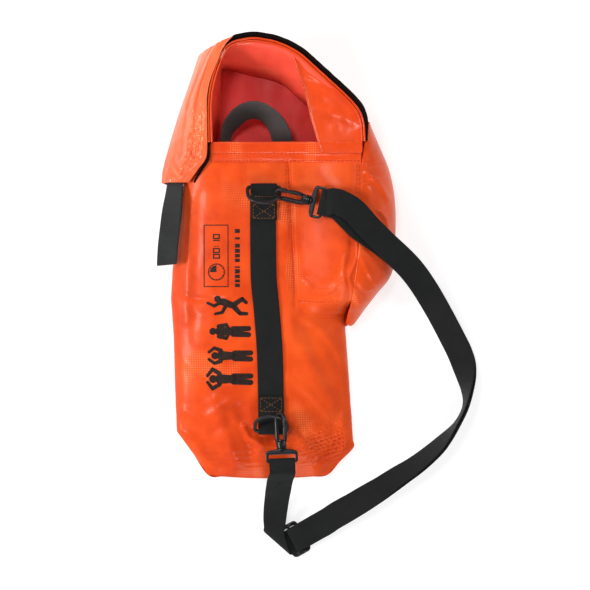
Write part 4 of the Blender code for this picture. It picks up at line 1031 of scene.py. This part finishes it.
def unit(v):
    v = np.array(v, float)
    return v / np.linalg.norm(v)


EYE0, EYE1 = 41.0, 55.0
U_AT = ring_point(UP_BAR, UP_Z, -1, UP_TILT, RING_HALF, 9.6)
U_DIR, U_UP = unit((0.968, -0.225, 0.11)), unit((0.07, 0.55, 0.79))
U_ORG = U_AT - U_DIR * (ROD_R + RING_R + 0.35 + 0.1)
FU = frame_of(U_ORG, U_DIR, -U_UP)
EU = frame_of(U_ORG, U_DIR, unit((0.2, 0.975, 0.0)))
TH = math.acos(10.3 / RING_HALF)
L_AT = ring_point(LO_BAR, LO_Z, +1, LO_TILT, 10.3, 8 + (RING_DEEP - 8) * math.sin(TH))
L_DIR, L_UP = unit((0.045, -0.998, 0.052)), unit((0.62, 0.06, 0.78))
L_ORG = L_AT - L_DIR * (ROD_R + RING_R + 0.35 + 0.3)
FL_ = frame_of(L_ORG, L_DIR, -L_UP)
EL = frame_of(L_ORG, L_DIR, (1.0, 0.03, 0.03))


def hook(prefix, F_, E_, gate_body, eye_body):
    pts = [(36.5, 3.9, 0), (33, 4.6, 0), (29.5, 6.7, 0), (25, HOOK_Y, 0), (19, HOOK_Y, 0), (13, HOOK_Y, 0)]
    for k in range(17):
        a = math.radians(90 + 180 * k / 16)
        pts.append((HOOK_Y + HOOK_Y * math.cos(a), HOOK_Y * math.sin(a), 0))
    pts += [(10.5, -HOOK_Y, 0), (13.0, -HOOK_Y, 0)]
    q = track(pts, 90)
    e = np.linspace(0, 1, 90)
    r = 2.65 * (1 - 0.16 * step((e - 0.93) / 0.07)) * (1 + 0.10 * np.exp(-((e - 0.05) / 0.08) ** 2))
    r = r - 0.6 * step((10.0 - q[:, 0]) / 5.0)
    parts = [sweep(q, r, r * 0.92, n=18, power=2.6)]
    parts.append(turned([(31.0, 2.7), (31.0, 4.7), (31.6, 5.7), (33.2, 5.7), (33.6, 5.1), (34.2, 5.1), (34.6, 5.7), (36.2, 5.7),
                         (36.6, 5.1), (37.2, 5.1), (37.5, 5.5), (38.1, 5.5), (38.5, 4.7), (38.5, 2.7)]))
    parts.append(sweep(track([(34.6, -3.9, 0), (32, -5.3, 0), (29.9, -6.6, 0)], 14), 1.9, 2.2, n=12))
    ob = solid(prefix + "_hook", parts, F_, ACETAL, "bag")
    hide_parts(prefix + "_hook_body")
    gq = track([(13.5, -6.85, 0), (17, -7.1, 0), (22, -7.35, 0), (26, -7.35, 0), (29.6, -6.95, 0)], 30)
    e = np.linspace(0, 1, 30)
    gr = 1.95 * (0.82 + 0.18 * step(e / 0.15)) * (1 + 0.12 * np.exp(-((e - 0.55) / 0.2) ** 2))
    gp = [sweep(gq, gr, gr * 1.08, n=14, power=2.6)]
    for xx in (20.0, 21.6, 23.2, 24.8):         # thumb ribs
        gp.append(sweep([(xx, -9.05, -1.5), (xx, -9.25, 0), (xx, -9.05, 1.5)], 0.38, n=8, up=(1, 0, 0)))
    go = solid(prefix + "_gate_lever", gp, F_, ACETAL, gate_body)
    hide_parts(prefix + "_hook_gate")
    x0_, x1_, hy = EYE0 + 2.3, EYE1 - 1.5, 16.2
    loop, c = [], 2.2
    for cx_, cy_, a0 in ((x1_ - c, hy - c, 0), (x0_ + c, hy - c, 90), (x0_ + c, -hy + c, 180), (x1_ - c, -hy + c, 270)):
        for k in range(7):
            a = math.radians(a0 + 90 * k / 6)
            loop.append((cx_ + c * math.cos(a), cy_ + c * math.sin(a), 0))
    dense = track(loop + [loop[0]], 140, 0.5)[:-1]
    near = np.exp(-((dense[:, 0] - x0_) / 1.6) ** 2)
    parts = [sweep(dense, 1.5 + 0.9 * near, 1.5, closed=True, n=14, power=3.2)]
    bell = np.linspace(-13.5, 13.5, 21)
    parts.append(sweep(np.stack([0 * bell + 41.2, bell, 0 * bell], 1), 0.9 + 2.6 * np.exp(-(bell / 6.5) ** 2), 1.35, n=12, power=2.6))
    parts.append(turned([(28.6, 0.0), (28.6, 2.6), (29.1, 3.1), (30.3, 3.1), (30.8, 2.6), (30.8, 2.1), (38.9, 2.1), (38.9, 3.2),
                         (39.3, 3.7), (40.6, 3.7), (41.2, 3.2), (42.0, 2.4), (42.6, 1.6), (42.8, 0.0)]))
    parts.append(sweep(track([(40.4, -4.6, 0), (40.9, 0, 0), (40.4, 4.6, 0)], 12), np.array([0.6, 1.0, 1.3, 1.5, 1.6, 1.6, 1.6, 1.6, 1.5, 1.3, 1.0, 0.6]), 1.4, n=10))
    eo = solid(prefix + "_eye", parts, E_, ACETAL, eye_body)
    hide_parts(prefix + "_swivel_eye")


hook("upper", FU, EU, "upper_gate", "upper_eye")
hook("lower", FL_, EL, "lower_gate", "lower_eye")

# ------------------------------------------------------------ shoulder strap
STRAP = [(59.5, 62.6, 75, 71.5, 70.3), (69.8, 59.6, 69, 72.2, 68.9), (81.6, 52.4, 57, 72.2, 67.4), (98.6, 34.0, 42, 70.2, 65.0),
         (117.6, 15.6, 44, 61.5, 56), (133.8, 1.3, 45, 48, 45), (147.3, -12.1, 38, 34, 34), (160.9, -29.9, 30, 22, 25),
         (175.9, -54.6, 26, 11, 20), (191.4, -82.8, 25, 5, 14), (204.2, -109.2, 20, 3.8, 13.5),
         (208.6, -128.2, 15, 3.8, 24), (209.5, -146.0, 2, 3.8, 31), (207.5, -163.9, -15, 3.8, 33),
         (198.5, -183.0, -38, 3.8, 33), (179.5, -206.6, -52, 3.8, 30), (152.7, -229.8, -56, 3.8, 27),
         (131.7, -243.8, -56, 4.6, 25), (98.4, -266.6, -58, 6.8, 21), (64.1, -287.0, -60, 8.4, 14)]
SL_C = np.array([17.4, -315.6, 0.0])
SL_D = unit((0.87, 0.50, 0.0))
SL_S = np.array([0.50, -0.87, 0.0])
Z_RUN = 3.5
out = []
for x_, y_, a_, zi, zo in STRAP:
    dz_ = zo - zi
    flat = math.sqrt(max(1.0, WEB_W ** 2 - dz_ ** 2))
    out.append([x_, y_, (zi + zo) / 2, math.cos(math.radians(a_)) * flat / WEB_W, math.sin(math.radians(a_)) * flat / WEB_W, dz_ / WEB_W])


def eye_points(E_, top, low, x_end, dy=0.0):
    xb, R = EYE1 - 1.5, 1.5 + 0.5 + WEB_T / 2
    pts = [(x_end, 0, top), ((x_end + xb) / 2, 0, (top + R) / 2)]
    for k in range(13):
        a = math.pi * k / 12
        pts.append((xb - 0.9 - (R - 0.3) * math.sin(a), 0, R * math.cos(a)))
    pts += [((x_end + xb) / 2, 0, (low - R) / 2), (x_end, 0, low)]
    return carry(E_, np.array(pts, float) + [0, dy, 0])


upl, lol = eye_points(EU, 2.4, -2.4, 56.5, 0.9), eye_points(EL, 2.4, -2.6, 61.0)
EU_S = np.array(EU.to_3x3() @ Vector((0, 1, 0)))
EL_S = np.array(EL.to_3x3() @ Vector((0, 1, 0)))
END = SL_C + SL_D * 40
rows_ = [list(upl[0]) + list(EU_S)] + out
rows_.append([END[0], END[1], 9.6, *(unit(SL_S * 0.99 + np.array([0, 0, 0.12])))])
ms0 = track(rows_, 64)
rows_b = rows_ + [[*(SL_C + SL_D * 27)[:2], 9.0, *SL_S], [*(SL_C + SL_D * 15)[:2], 8.9, *SL_S]]
ms = track(rows_b, 420)
mt = tangents(ms0[:, :3])
msd0 = ms0[:, 3:6] / np.linalg.norm(ms0[:, 3:6], axis=1)[:, None]
mn = np.cross(mt, msd0)
mn = np.where((mn[:, 2] < 0)[:, None], mn, -mn)
shiftv = tab([(0, 0), (2, 5.0), (4, 8.5), (6, 8.0), (8, 4.6), (10.5, 1.4), (13, 0.2), (64, 0)], np.arange(64))
ret = [list(upl[-1]) + list(EU_S)]
for i in range(2, 52, 2):
    p = ms0[i, :3] + mn[i] * 3.0 - msd0[i] * shiftv[i]
    p[2] = max(p[2], 1.0 + abs(msd0[i][2]) * WEB_W / 2)
    ret.append(list(p) + list(msd0[i]))
for d in (60.0, 40.0, 24.0, 15.0):
    p = SL_C + SL_D * d
    ret.append([p[0], p[1], Z_RUN] + list(SL_S))


def edges(a, b_):
    """Station of the webbing from its two edges; a diagonal fold has slanting stations."""
    a, b_ = np.array(a), np.array(b_)
    return list((a + b_) / 2) + list((a - b_) / WEB_W)


run = track(ret, 560)
LOW = [list(SL_C + SL_D * 14.6 + [0, 0, Z_RUN]) + list(SL_S), list(SL_C + [0, 0, Z_RUN]) + list(SL_S),
       list(SL_C - SL_D * 9.5 + [0, 0, Z_RUN]) + list(SL_S),
       edges((13.5, -333.0, 2.9), (-12.0, -309.5, 2.9)), edges((12.2, -332.2, 4.8), (-17.6, -305.8, 4.8)),
       edges((11.4, -329.0, 7.0), (-17.6, -301.5, 7.0)), edges((5.6, -309.0, 9.4), (-18.2, -292.0, 9.4)),
       edges((7.0, -296.5, 9.8), (-17.9, -281.0, 11.0)), edges((10.6, -271.0, 18.5), (-16.4, -265.4, 20.5)),
       [-1.2, -257.5, 31.0, 1, 0, 0], [0.8, -245.5, 43.0, 1, 0, 0],
       list(lol[0] + L_DIR * 4.35) + list(EL_S), list(lol[0] + L_DIR * 0.35) + list(EL_S)]
low = track(LOW, 330)

s1 = np.r_[0, np.cumsum(np.linalg.norm(np.diff(ms[:, :3], axis=0), axis=1))]
s2 = np.r_[0, np.cumsum(np.linalg.norm(np.diff(run[:, :3], axis=0), axis=1))]
A_LEN = 34.0
ia, ib = int(np.searchsorted(s1, A_LEN)), int(np.searchsorted(s2, A_LEN))
s3 = np.r_[0, np.cumsum(np.linalg.norm(np.diff(low[:, :3], axis=0), axis=1))]
ic = int(np.searchsorted(s3, s3[-1] - 24.0))

# webbing round the upper eye with the first stretch of both layers
U_line = np.vstack([ms[:ia + 1, :3][::-1], upl[1:-1], run[:ib + 1, :3]])
U_side = np.vstack([ms[:ia + 1, 3:6][::-1], np.repeat(EU_S[None, :], len(upl) - 2, 0), run[:ib + 1, 3:6]])
U_line6 = track([tuple(a) + tuple(b_) for a, b_ in zip(U_line[::2], U_side[::2])], 200)
uw = webbing("upper_end_webbing", U_line6[:, :3], U_line6[:, 3:6], None)
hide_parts("upper_strap_loop")
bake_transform(uw)

L_side = np.vstack([low[ic:, 3:6], np.repeat(EL_S[None, :], len(lol) - 1, 0)])
L_line = np.vstack([low[ic:, :3], lol[1:]])
L6 = track([tuple(a) + tuple(b_) for a, b_ in zip(L_line[::2], L_side[::2])] + [tuple(L_line[-1]) + tuple(L_side[-1])], 150)
lw = webbing("lower_end_webbing", L6[:, :3], L6[:, 3:6], None)
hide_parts("lower_strap_loop")
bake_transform(lw)

mainw = webbing("shoulder_webbing", ms[ia - 7:, :3], ms[ia - 7:, 3:6], None, wobble=0.0)
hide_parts("shoulder_strap")
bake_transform(mainw)
rc, rs_ = run[ib - 9:, :3], run[ib - 9:, 3:6]
rt = tangents(rc)
rs_ = rs_ - (rs_ * rt).sum(1)[:, None] * rt
rs_ = rs_ / np.linalg.norm(rs_, axis=1)[:, None]
both_c, both_s = np.vstack([rc, low[2:ic + 9, :3]]), np.vstack([rs_, low[2:ic + 9, 3:6]])
runw = webbing("running_webbing", both_c, both_s, "bag", skew=True)
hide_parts("return_strap", "lower_strap")

# slider
SF = frame_of(SL_C, SL_D, np.cross((0, 0, 1), SL_D))


def frame_loop(x0_, x1_, hy, c, z, n=120):
    L = []
    for cx_, cy_, a0 in ((x1_ - c, hy - c, 0), (x0_ + c, hy - c, 90), (x0_ + c, -hy + c, 180), (x1_ - c, -hy + c, 270)):
        for k in range(7):
            a = math.radians(a0 + 90 * k / 6)
            L.append((cx_ + c * math.cos(a), cy_ + c * math.sin(a), z))
    return track(L + [L[0]], n)[:-1]


parts = [sweep(frame_loop(-8.9, 8.9, 16.9, 2.4, 1.5), 2.3, 1.35, closed=True, n=14, power=3.4)]
for sg in (1, -1):
    parts.append(sweep(track([(-5.0, sg * 17.0, 1.6), (-3.6, sg * 17.0, 3.6), (-1.8, sg * 17.0, 6.2), (0, sg * 17.0, 6.6), (1.8, sg * 17.0, 6.2),
                              (3.6, sg * 17.0, 3.6), (5.0, sg * 17.0, 1.6)], 30), 1.2, 1.2, up=(0, 1, 0), n=12, power=3.0))
parts.append(sweep(track([(0, -17.4, 5.9), (0, 0, 5.9), (0, 17.4, 5.9)], 30), 1.5, 1.0, n=12, power=3.0))
for i_ in range(9):     # grip ribs on the end bars
    for xx in (-9.05, 9.05):
        parts.append(sweep([(xx - 1.0, -12 + 3 * i_, 2.3), (xx, -12 + 3 * i_, 2.5), (xx + 1.0, -12 + 3 * i_, 2.3)], 0.32, n=8))
so = solid("slider_frame", parts, SF, ACETAL, "slider")
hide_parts("strap_slider")
el = [(15.0, 0, 8.9), (10, 0, 8.9), (5, 0, 8.8), (1.5, 0, 8.5), (-1.2, 0, 8.3), (-2.9, 0, 7.3), (-3.05, 0, 6.2)]
el = track(carry(SF, np.array(el)), 40)
eo = webbing("slider_end_webbing", el, [SL_S] * 40, "slider")
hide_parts("slider_end_loop")

# ---------------------------------------------------------------- cover flap
FL_O = [(-132.2, 85.6, 17), (-131.6, 99, 11), (-115.0, 159, 8), (-98.0, 209, 7), (-91.6, 229, 7)]
FL_I = [(-100.6, 84.6, 39.5), (-91.0, 97, 49), (-80.6, 111, 57), (-79.0, 124, 61), (-78.8, 150, 65), (-78.8, 178, 66), (-75, 197, 66.8), (-66.5, 219, 67.6),
        (-62.0, 229.5, 68.4), (-56.5, 237.5, 68.6), (-50.0, 243.6, 68.6)]
NV = 170
fo_, fi_ = track(FL_O, NV), track(FL_I, NV)
u = np.r_[np.linspace(-0.32, -0.16, 16)[:-1], np.linspace(-0.16, 0.12, 34)[:-1], np.linspace(0.12, 1, 74)]
NU = len(u)
yr_ = np.minimum(fo_[:, 1], 214.0)
root_ = np.stack([lin(BACK_L, yr_) + 3.5, yr_], 1)      # where the cover is sewn to the back
G = np.zeros((NV, NU, 3))
for j, a in enumerate(u):
    if a < 0:
        q = min(-a / 0.16, 1.0)
        d = np.array([0.953, -0.302])
        G[:, j, :2] = fo_[:, :2] + d * (9.0 * q ** 1.6)
        G[:, j, 2] = fo_[:, 2] * (1 - q) + np.minimum(fo_[:, 2], 2.2) * q
        if a < -0.16:
            q = -a / 0.16 - 1.0
            G[:, j, :2] = G[:, j, :2] * (1 - q) + root_ * q
            G[:, j, 2] = 2.2 * (1 - q) + 0.75 * q
    else:
        x_ = 1 - math.cos(a * math.pi / 2)
        w_ = 0.35 * x_ + 0.65 * a
        G[:, j, :2] = fo_[:, :2] + (fi_[:, :2] - fo_[:, :2]) * w_
        G[:, j, 2] = fo_[:, 2] + (fi_[:, 2] - fo_[:, 2]) * math.sin(a * math.pi / 2) ** 0.9
vv_ = np.linspace(0, 1, NV)[:, None]
uu_ = u[None, :]
fold = np.clip(uu_, 0, 1) * (1 - np.clip(uu_, 0, 1)) * 4
wr = (2.4 * pn(uu_ * 3.2 + 0.2 * np.sin(vv_ * 5), vv_ * 2.2, 81) + 1.1 * pn(uu_ * 8, vv_ * 4.0, 82)) * fold
wr += 1.6 * ridge(uu_ + 0 * vv_, vv_ + 0 * uu_, [(0.75, 0.95), (0.6, 0.6), (0.62, 0.2)], 0.07) * fold
wr -= 1.5 * ridge(uu_ + 0 * vv_, vv_ + 0 * uu_, [(0.55, 0.95), (0.42, 0.62), (0.45, 0.25)], 0.08) * fold
wr += 1.0 * spot(uu_, vv_, 0.55, 0.12, 0.28, 0.12) * np.sin(vv_ * 70 + 5 * pn(uu_ * 5, vv_ * 5, 83))
wr += 3.0 * spot(uu_, vv_, 0.74, 0.27, 0.17, 0.22) * (pn(uu_ * 15, vv_ * 24, 84) + 0.5 * pn(uu_ * 30, vv_ * 45, 85))
wr -= 1.1 * np.exp(-((uu_ - 0.70) / 0.022) ** 2) * step(vv_ / 0.12)
wr += 1.3 * ridge(uu_ + 0 * vv_, vv_ + 0 * uu_, [(0.1, 0.30), (0.5, 0.36), (0.68, 0.33)], 0.03) * fold
wr += 1.2 * ridge(uu_ + 0 * vv_, vv_ + 0 * uu_, [(0.2, 0.62), (0.45, 0.52), (0.66, 0.55)], 0.035) * fold
G[..., 2] += wr
G[..., 0] -= 0.45 * wr * (uu_ > 0)
flapo = sheet("cover_flap_fabric", G, [COVER_PAINTED_LIGHTER, SIDE], None, 1.1, -1.0)
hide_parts("cover_flap")
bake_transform(flapo)
FLAP_G = G

tp_ = track([(-95.0, 84.5, 40), (-87.0, 98, 49), (-78.2, 111, 56.5), (-77.6, 124, 60.5), (-78.6, 150, 65), (-78.2, 178, 66), (-74.6, 197, 66.2), (-66.8, 220, 66.2), (-60, 238.0, 66.2)], 90)
tq_ = track([(-92.0, 84.5, 36), (-84.5, 98, 43), (-76.6, 110, 48), (-76.4, 124, 51), (-76.6, 150, 55), (-76.4, 178, 57), (-72.6, 197, 58), (-64.6, 220, 58), (-58.5, 236.0, 58)], 90)
t = np.linspace(0, 1, 8)[None, :, None]
G = tq_[:, None, :] * (1 - t) + tp_[:, None, :] * t
fh = sheet("flap_hook_strip", G, HOOK, "flap", 1.0, 1.0)
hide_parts("flap_hook_tape")

PLP = [(-116.0, 90, 28.6), (-116.4, 83, 30.0), (-117.2, 75, 33.4), (-118.8, 60, 38.6), (-121.3, 35, 42.4), (-123.6, 14, 43.0), (-124.6, -1.5, 41.6),
       (-124.9, -6.0, 38.2), (-124.6, -2.5, 34.6), (-123.6, 14, 33.4), (-121.3, 35, 33.0), (-118.8, 56, 30.8), (-117.2, 72, 28.4),
       (-116.3, 88, 25.8)]
pp2 = track(PLP, 160)
tilt_ = 0.62 * (1 - step((86.0 - pp2[:, 1]) / 52.0))
po = webbing("pull_tab_webbing", pp2, [list(unit((-0.995, -0.1, -float(a)))) for a in tilt_], None, width=22, mat=WEB_TAB)
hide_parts("pull_loop")
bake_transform(po)

# ------------------------------------------------------------------ stitching
def line_on(fn, pts, n, lift=0.25):
    q = track([(a, b_, 0) for a, b_ in pts], n, 0.0)
    return np.stack([q[:, 0], q[:, 1], fn(q[:, 0], q[:, 1]) + lift], 1)


ysm = np.linspace(104, -44, 60)
L = [line_on(front_z, [(float(lin(SEAM, y)) - 2.6, y) for y in ysm], 260),
     line_on(front_z, [(float(lin(SEAM, y)) - 5.4, y) for y in np.linspace(104, 20, 30)], 150)]
stitches("front_seam_thread", L, THREAD, "bag")
L = [line_on(hem_z, [(-73, 115.6), (0, 115.6), (44, 115.6)], 220), line_on(hem_z, [(-73, 107.8), (0, 107.8), (89, 107.8)], 300)]
stitches("hem_thread", L, THREAD, "bag")
L = [line_on(comp_z, [(float(tab(B_SEAM, y)) - d, y) for y in np.linspace(104, 70, 12)], 70) for d in (2.6, 5.6)]
stitches("compartment_seam_thread", L, THREAD, "bag")
L = [line_on(comp_z, [(21.5, -47.0), (45, -48.0), (66, -47.2)], 90)]
stitches("compartment_foot_thread", L, THREAD, "bag")


def box_x(name, x0, y0, x1, y1, zf, body, mat):
    L = []
    for a, b_ in (((x0, y0), (x1, y0)), ((x1, y0), (x1, y1)), ((x1, y1), (x0, y1)), ((x0, y1), (x0, y0)), ((x0, y0), (x1, y1)), ((x1, y0), (x0, y1))):
        q = np.linspace(0, 1, 40)[:, None]
        pts = np.array(a)[None, :] * (1 - q) + np.array(b_)[None, :] * q
        L.append(np.stack([pts[:, 0], pts[:, 1], zf(pts[:, 1]) + 0.1], 1))
    stitches(name, L, mat, body, r=0.30, length=2.6, gap=0.8)


tab_top = lambda Q: (lambda y: np.interp(y, *[a[np.argsort(Q[:60, 1])] for a in (Q[:60, 1], Q[:60, 2])]) + WEB_T / 2)
box_x("upper_box_stitch", -28.6, 44.8, -5.4, 60.2, tab_top(tu), "bag", THREAD_B)
box_x("lower_box_stitch", -21.0, -154.6, 2.4, -169.6, tab_top(tl), "bag", THREAD_B)

for nm, tq2, yy, xa, xb in (("upper_row_stitch", tu, 68.5, -27.5, -6.5), ("lower_row_stitch", tl, -181.5, -20.0, 1.4)):
    q = np.linspace(xa, xb, 20)
    stitches(nm, [np.stack([q, 0 * q + yy, 0 * q + float(tab_top(tq2)(yy)) + 0.25], 1)], THREAD_B, "bag", r=0.30, length=2.6, gap=0.8)


# --------------------------------------------------------------------- print
def decal(shapes, name, fn=None, lift=0.22, body="bag"):
    """Flat printed shapes laid on the front; each is a grid of plan points."""
    fn = fn or front_z
    parts = []
    for g_ in shapes:
        nv_, nu_ = g_.shape[:2]
        z_ = fn(g_[..., 0], g_[..., 1]) + lift
        V_ = np.dstack([g_, z_]).reshape(-1, 3)
        parts.append((V_, faces(nu_, nv_)))
    V_, F_ = join(parts)
    ob_ = make(name, V_, F_, V_[:, :2], INK, body)
    bm_ = bmesh.new()
    bm_.from_mesh(ob_.data)
    bm_.normal_update()
    for f_ in bm_.faces:
        if f_.normal.z < 0:
            f_.normal_flip()
    bm_.to_mesh(ob_.data)
    bm_.free()
    md = ob_.modifiers.new("ink", "SOLIDIFY")
    md.thickness = 0.12 * MM
    md.offset = 0
    return ob_


def limb(p, q, r0, r1=None, n=None):
    """Rounded bar in plan from p to q (a figure's limb or a rule)."""
    r1 = r0 if r1 is None else r1
    p, q = np.array(p, float), np.array(q, float)
    d = q - p
    Ln = max(np.linalg.norm(d), 1e-6)
    d /= Ln
    nn = np.array([-d[1], d[0]])
    k = max(8, int(Ln / 1.2))
    ss, ww = [], []
    for a in np.linspace(-90, 0, 7):
        ss.append(-r0 * math.cos(math.radians(a + 90)) if False else r0 * math.sin(math.radians(a)))
        ww.append(max(0.02, r0 * math.cos(math.radians(a))))
    for t_ in np.linspace(0, 1, k)[1:-1]:
        ss.append(t_ * Ln)
        ww.append(r0 + (r1 - r0) * t_)
    for a in np.linspace(0, 90, 7):
        ss.append(Ln + r1 * math.sin(math.radians(a)))
        ww.append(max(0.02, r1 * math.cos(math.radians(a))))
    ss, ww = np.array(ss), np.array(ww)
    e = np.linspace(-1, 1, 7)
    return p[None, None, :] + ss[:, None, None] * d + (ww[:, None] * e[None, :])[..., None] * nn


def disc(c, r, r0=0.0, a0=0.0, a1=360.0, n=48, m_=6):
    a = np.radians(np.linspace(a0, a1, n))
    rr2 = np.linspace(r0, r, m_)
    return np.array(c)[None, None, :] + np.stack([np.cos(a)[:, None] * rr2[None, :], np.sin(a)[:, None] * rr2[None, :]], 2)


def bar(x0, y0, x1, y1, n=24):
    gx, gy = np.meshgrid(np.linspace(x0, x1, max(4, int(abs(x1 - x0)))), np.linspace(y0, y1, max(4, int(abs(y1 - y0)))))
    return np.stack([gx, gy], 2)


def px(a, b_):
    return np.array([(a - 279.6) * 1.13 * 0.98 + 0.35, (259.6 - b_) * 1.13 * 0.98 - 0.8])


bx0, by0 = px(203.5, 287)
bx1, by1 = px(228.4, 224.7)
S_ = [bar(bx0, by0, bx1, by0 + 0.9), bar(bx0, by1 - 0.9, bx1, by1), bar(bx0, by0, bx0 + 0.9, by1), bar(bx1 - 0.9, by0, bx1, by1)]
cc = px(216.3, 272)
S_ += [disc(cc, 9.4, 8.4), disc(cc, 7.3, 0.0, 90, 180)]
for k in range(12):
    a = math.radians(30 * k)
    S_.append(limb(cc + 7.9 * np.array([math.cos(a), math.sin(a)]), cc + 8.3 * np.array([math.cos(a), math.sin(a)]), 0.3))
SEG = {"0": "abcdef", "1": "bc"}
LINES = {"a": (0, 1, 1, 1), "b": (1, 1, 1, 0.5), "c": (1, 0.5, 1, 0), "d": (1, 0, 0, 0), "e": (0, 0, 0, 0.5), "f": (0, 0.5, 0, 1)}


def digit(ch, y0_, w_=4.2, h_=6.4):
    """Plain seven-stroke digit, turned so that it reads upwards; x is the digit's own height axis."""
    for sname in SEG[ch]:
        a0, b0, a1, b1 = LINES[sname]
        S_.append(limb((bx0 + 17.4 - b0 * h_, y0_ + a0 * w_), (bx0 + 17.4 - b1 * h_, y0_ + a1 * w_), 0.62))


yq = by0 + 32.0
for ch in "00:10":
    if ch == ":":
        for hh in (1.8, 4.6):
            S_.append(disc((bx0 + 17.4 - hh, yq + 0.5), 0.62))
        yq += 2.9
    else:
        digit(ch, yq)
        yq += 6.3
decal(S_, "print_timer_mark")
tx0, ty0 = px(234.4, 287)
tx1, ty1 = px(240.4, 226)
S_, y_ = [], ty0
for ln in (3.6, 3.2, 3.8, 4.6, 1.6, 0, 3.6, 3.6, 4.2, 4.2, 0, 2.2, 0, 4.2):
    if ln:
        S_.append(bar(tx0 + 0.5, y_, tx1 - 0.8, y_ + ln))
        y_ += ln + 1.5
    else:
        y_ += 3.4
decal(S_, "print_rule_mark")


def figure(name, pose, ox, oy):
    """Generic little person, lying with the head to the left, in the print's own turned layout."""
    S2 = []
    for kind, *a in pose:
        if kind == "disc":
            S2.append(disc(px(ox + a[0], oy + a[1]), a[2] * 1.15))
        else:
            k_ = 1.0 if a[4] > 3.5 else 1.32
            S2.append(limb(px(ox + a[0], oy + a[1]), px(ox + a[2], oy + a[3]), a[4] * k_, a[5] * k_ if len(a) > 5 else None))
    decal(S2, name)


# stepping figure, one holding the pack, one opening it, one pulling on the hood
figure("print_figure_one", [("disc", 12.5, 2.5, 3.2), ("bar", 18, 5.5, 29, 9.5, 4.0, 3.4), ("bar", 19, 4, 9, 9.5, 1.7, 1.3), ("bar", 9, 9.5, 2.5, 6.5, 1.3, 1.1),
                            ("bar", 21, 8.5, 17, 16, 1.7, 1.3), ("bar", 17, 16, 10, 17.5, 1.3, 1.1), ("bar", 29, 8, 37, 2.5, 2.2, 1.7), ("bar", 37, 2.5, 41, 6.0, 1.7, 1.4),
                            ("bar", 29.5, 11, 35, 17, 2.2, 1.7), ("bar", 35, 17, 41.5, 17.2, 1.7, 1.4)], 205, 296.5)
figure("print_figure_two", [("disc", 6.5, 8.5, 3.4), ("bar", 13.5, 8.5, 24.5, 8.5, 5.0, 4.2), ("bar", 12.5, 3.4, 20, 1.8, 1.7, 1.4), ("bar", 20, 1.8, 22.5, 6.0, 1.4, 1.3),
                            ("bar", 12.5, 13.6, 20, 15.4, 1.7, 1.4), ("bar", 20, 15.4, 22.5, 11.0, 1.4, 1.3), ("bar", 27, 6.3, 42.5, 5.6, 2.5, 2.1), ("bar", 27, 10.9, 42.5, 11.8, 2.5, 2.1)], 206, 323)
figure("print_figure_three", [("disc", 7.5, 8.5, 3.5), ("bar", 14, 8.5, 25, 8.5, 5.2, 4.2), ("bar", 13.5, 3.2, 7.0, 0.8, 1.7, 1.4), ("bar", 7.0, 0.8, 1.5, 4.8, 1.4, 1.2),
                              ("bar", 13.5, 13.8, 7.0, 16.2, 1.7, 1.4), ("bar", 7.0, 16.2, 1.5, 12.2, 1.4, 1.2), ("bar", 27.5, 6.3, 43.5, 5.6, 2.6, 2.1), ("bar", 27.5, 10.8, 43.5, 11.8, 2.6, 2.1)], 207, 347.5)
figure("print_figure_four", [("disc", 8.5, 11.5, 3.8), ("bar", 15.5, 11.5, 27, 11.5, 5.4, 4.4), ("bar", 15, 6.0, 8.0, 1.6, 1.8, 1.5), ("bar", 8.0, 1.6, 3.0, 8.2, 1.5, 1.3),
                             ("bar", 15, 17.0, 8.0, 21.4, 1.8, 1.5), ("bar", 8.0, 21.4, 3.0, 14.8, 1.5, 1.3), ("bar", 29.5, 9.1, 46.5, 8.4, 2.7, 2.2), ("bar", 29.5, 13.9, 46.5, 14.8, 2.7, 2.2)], 204, 368)
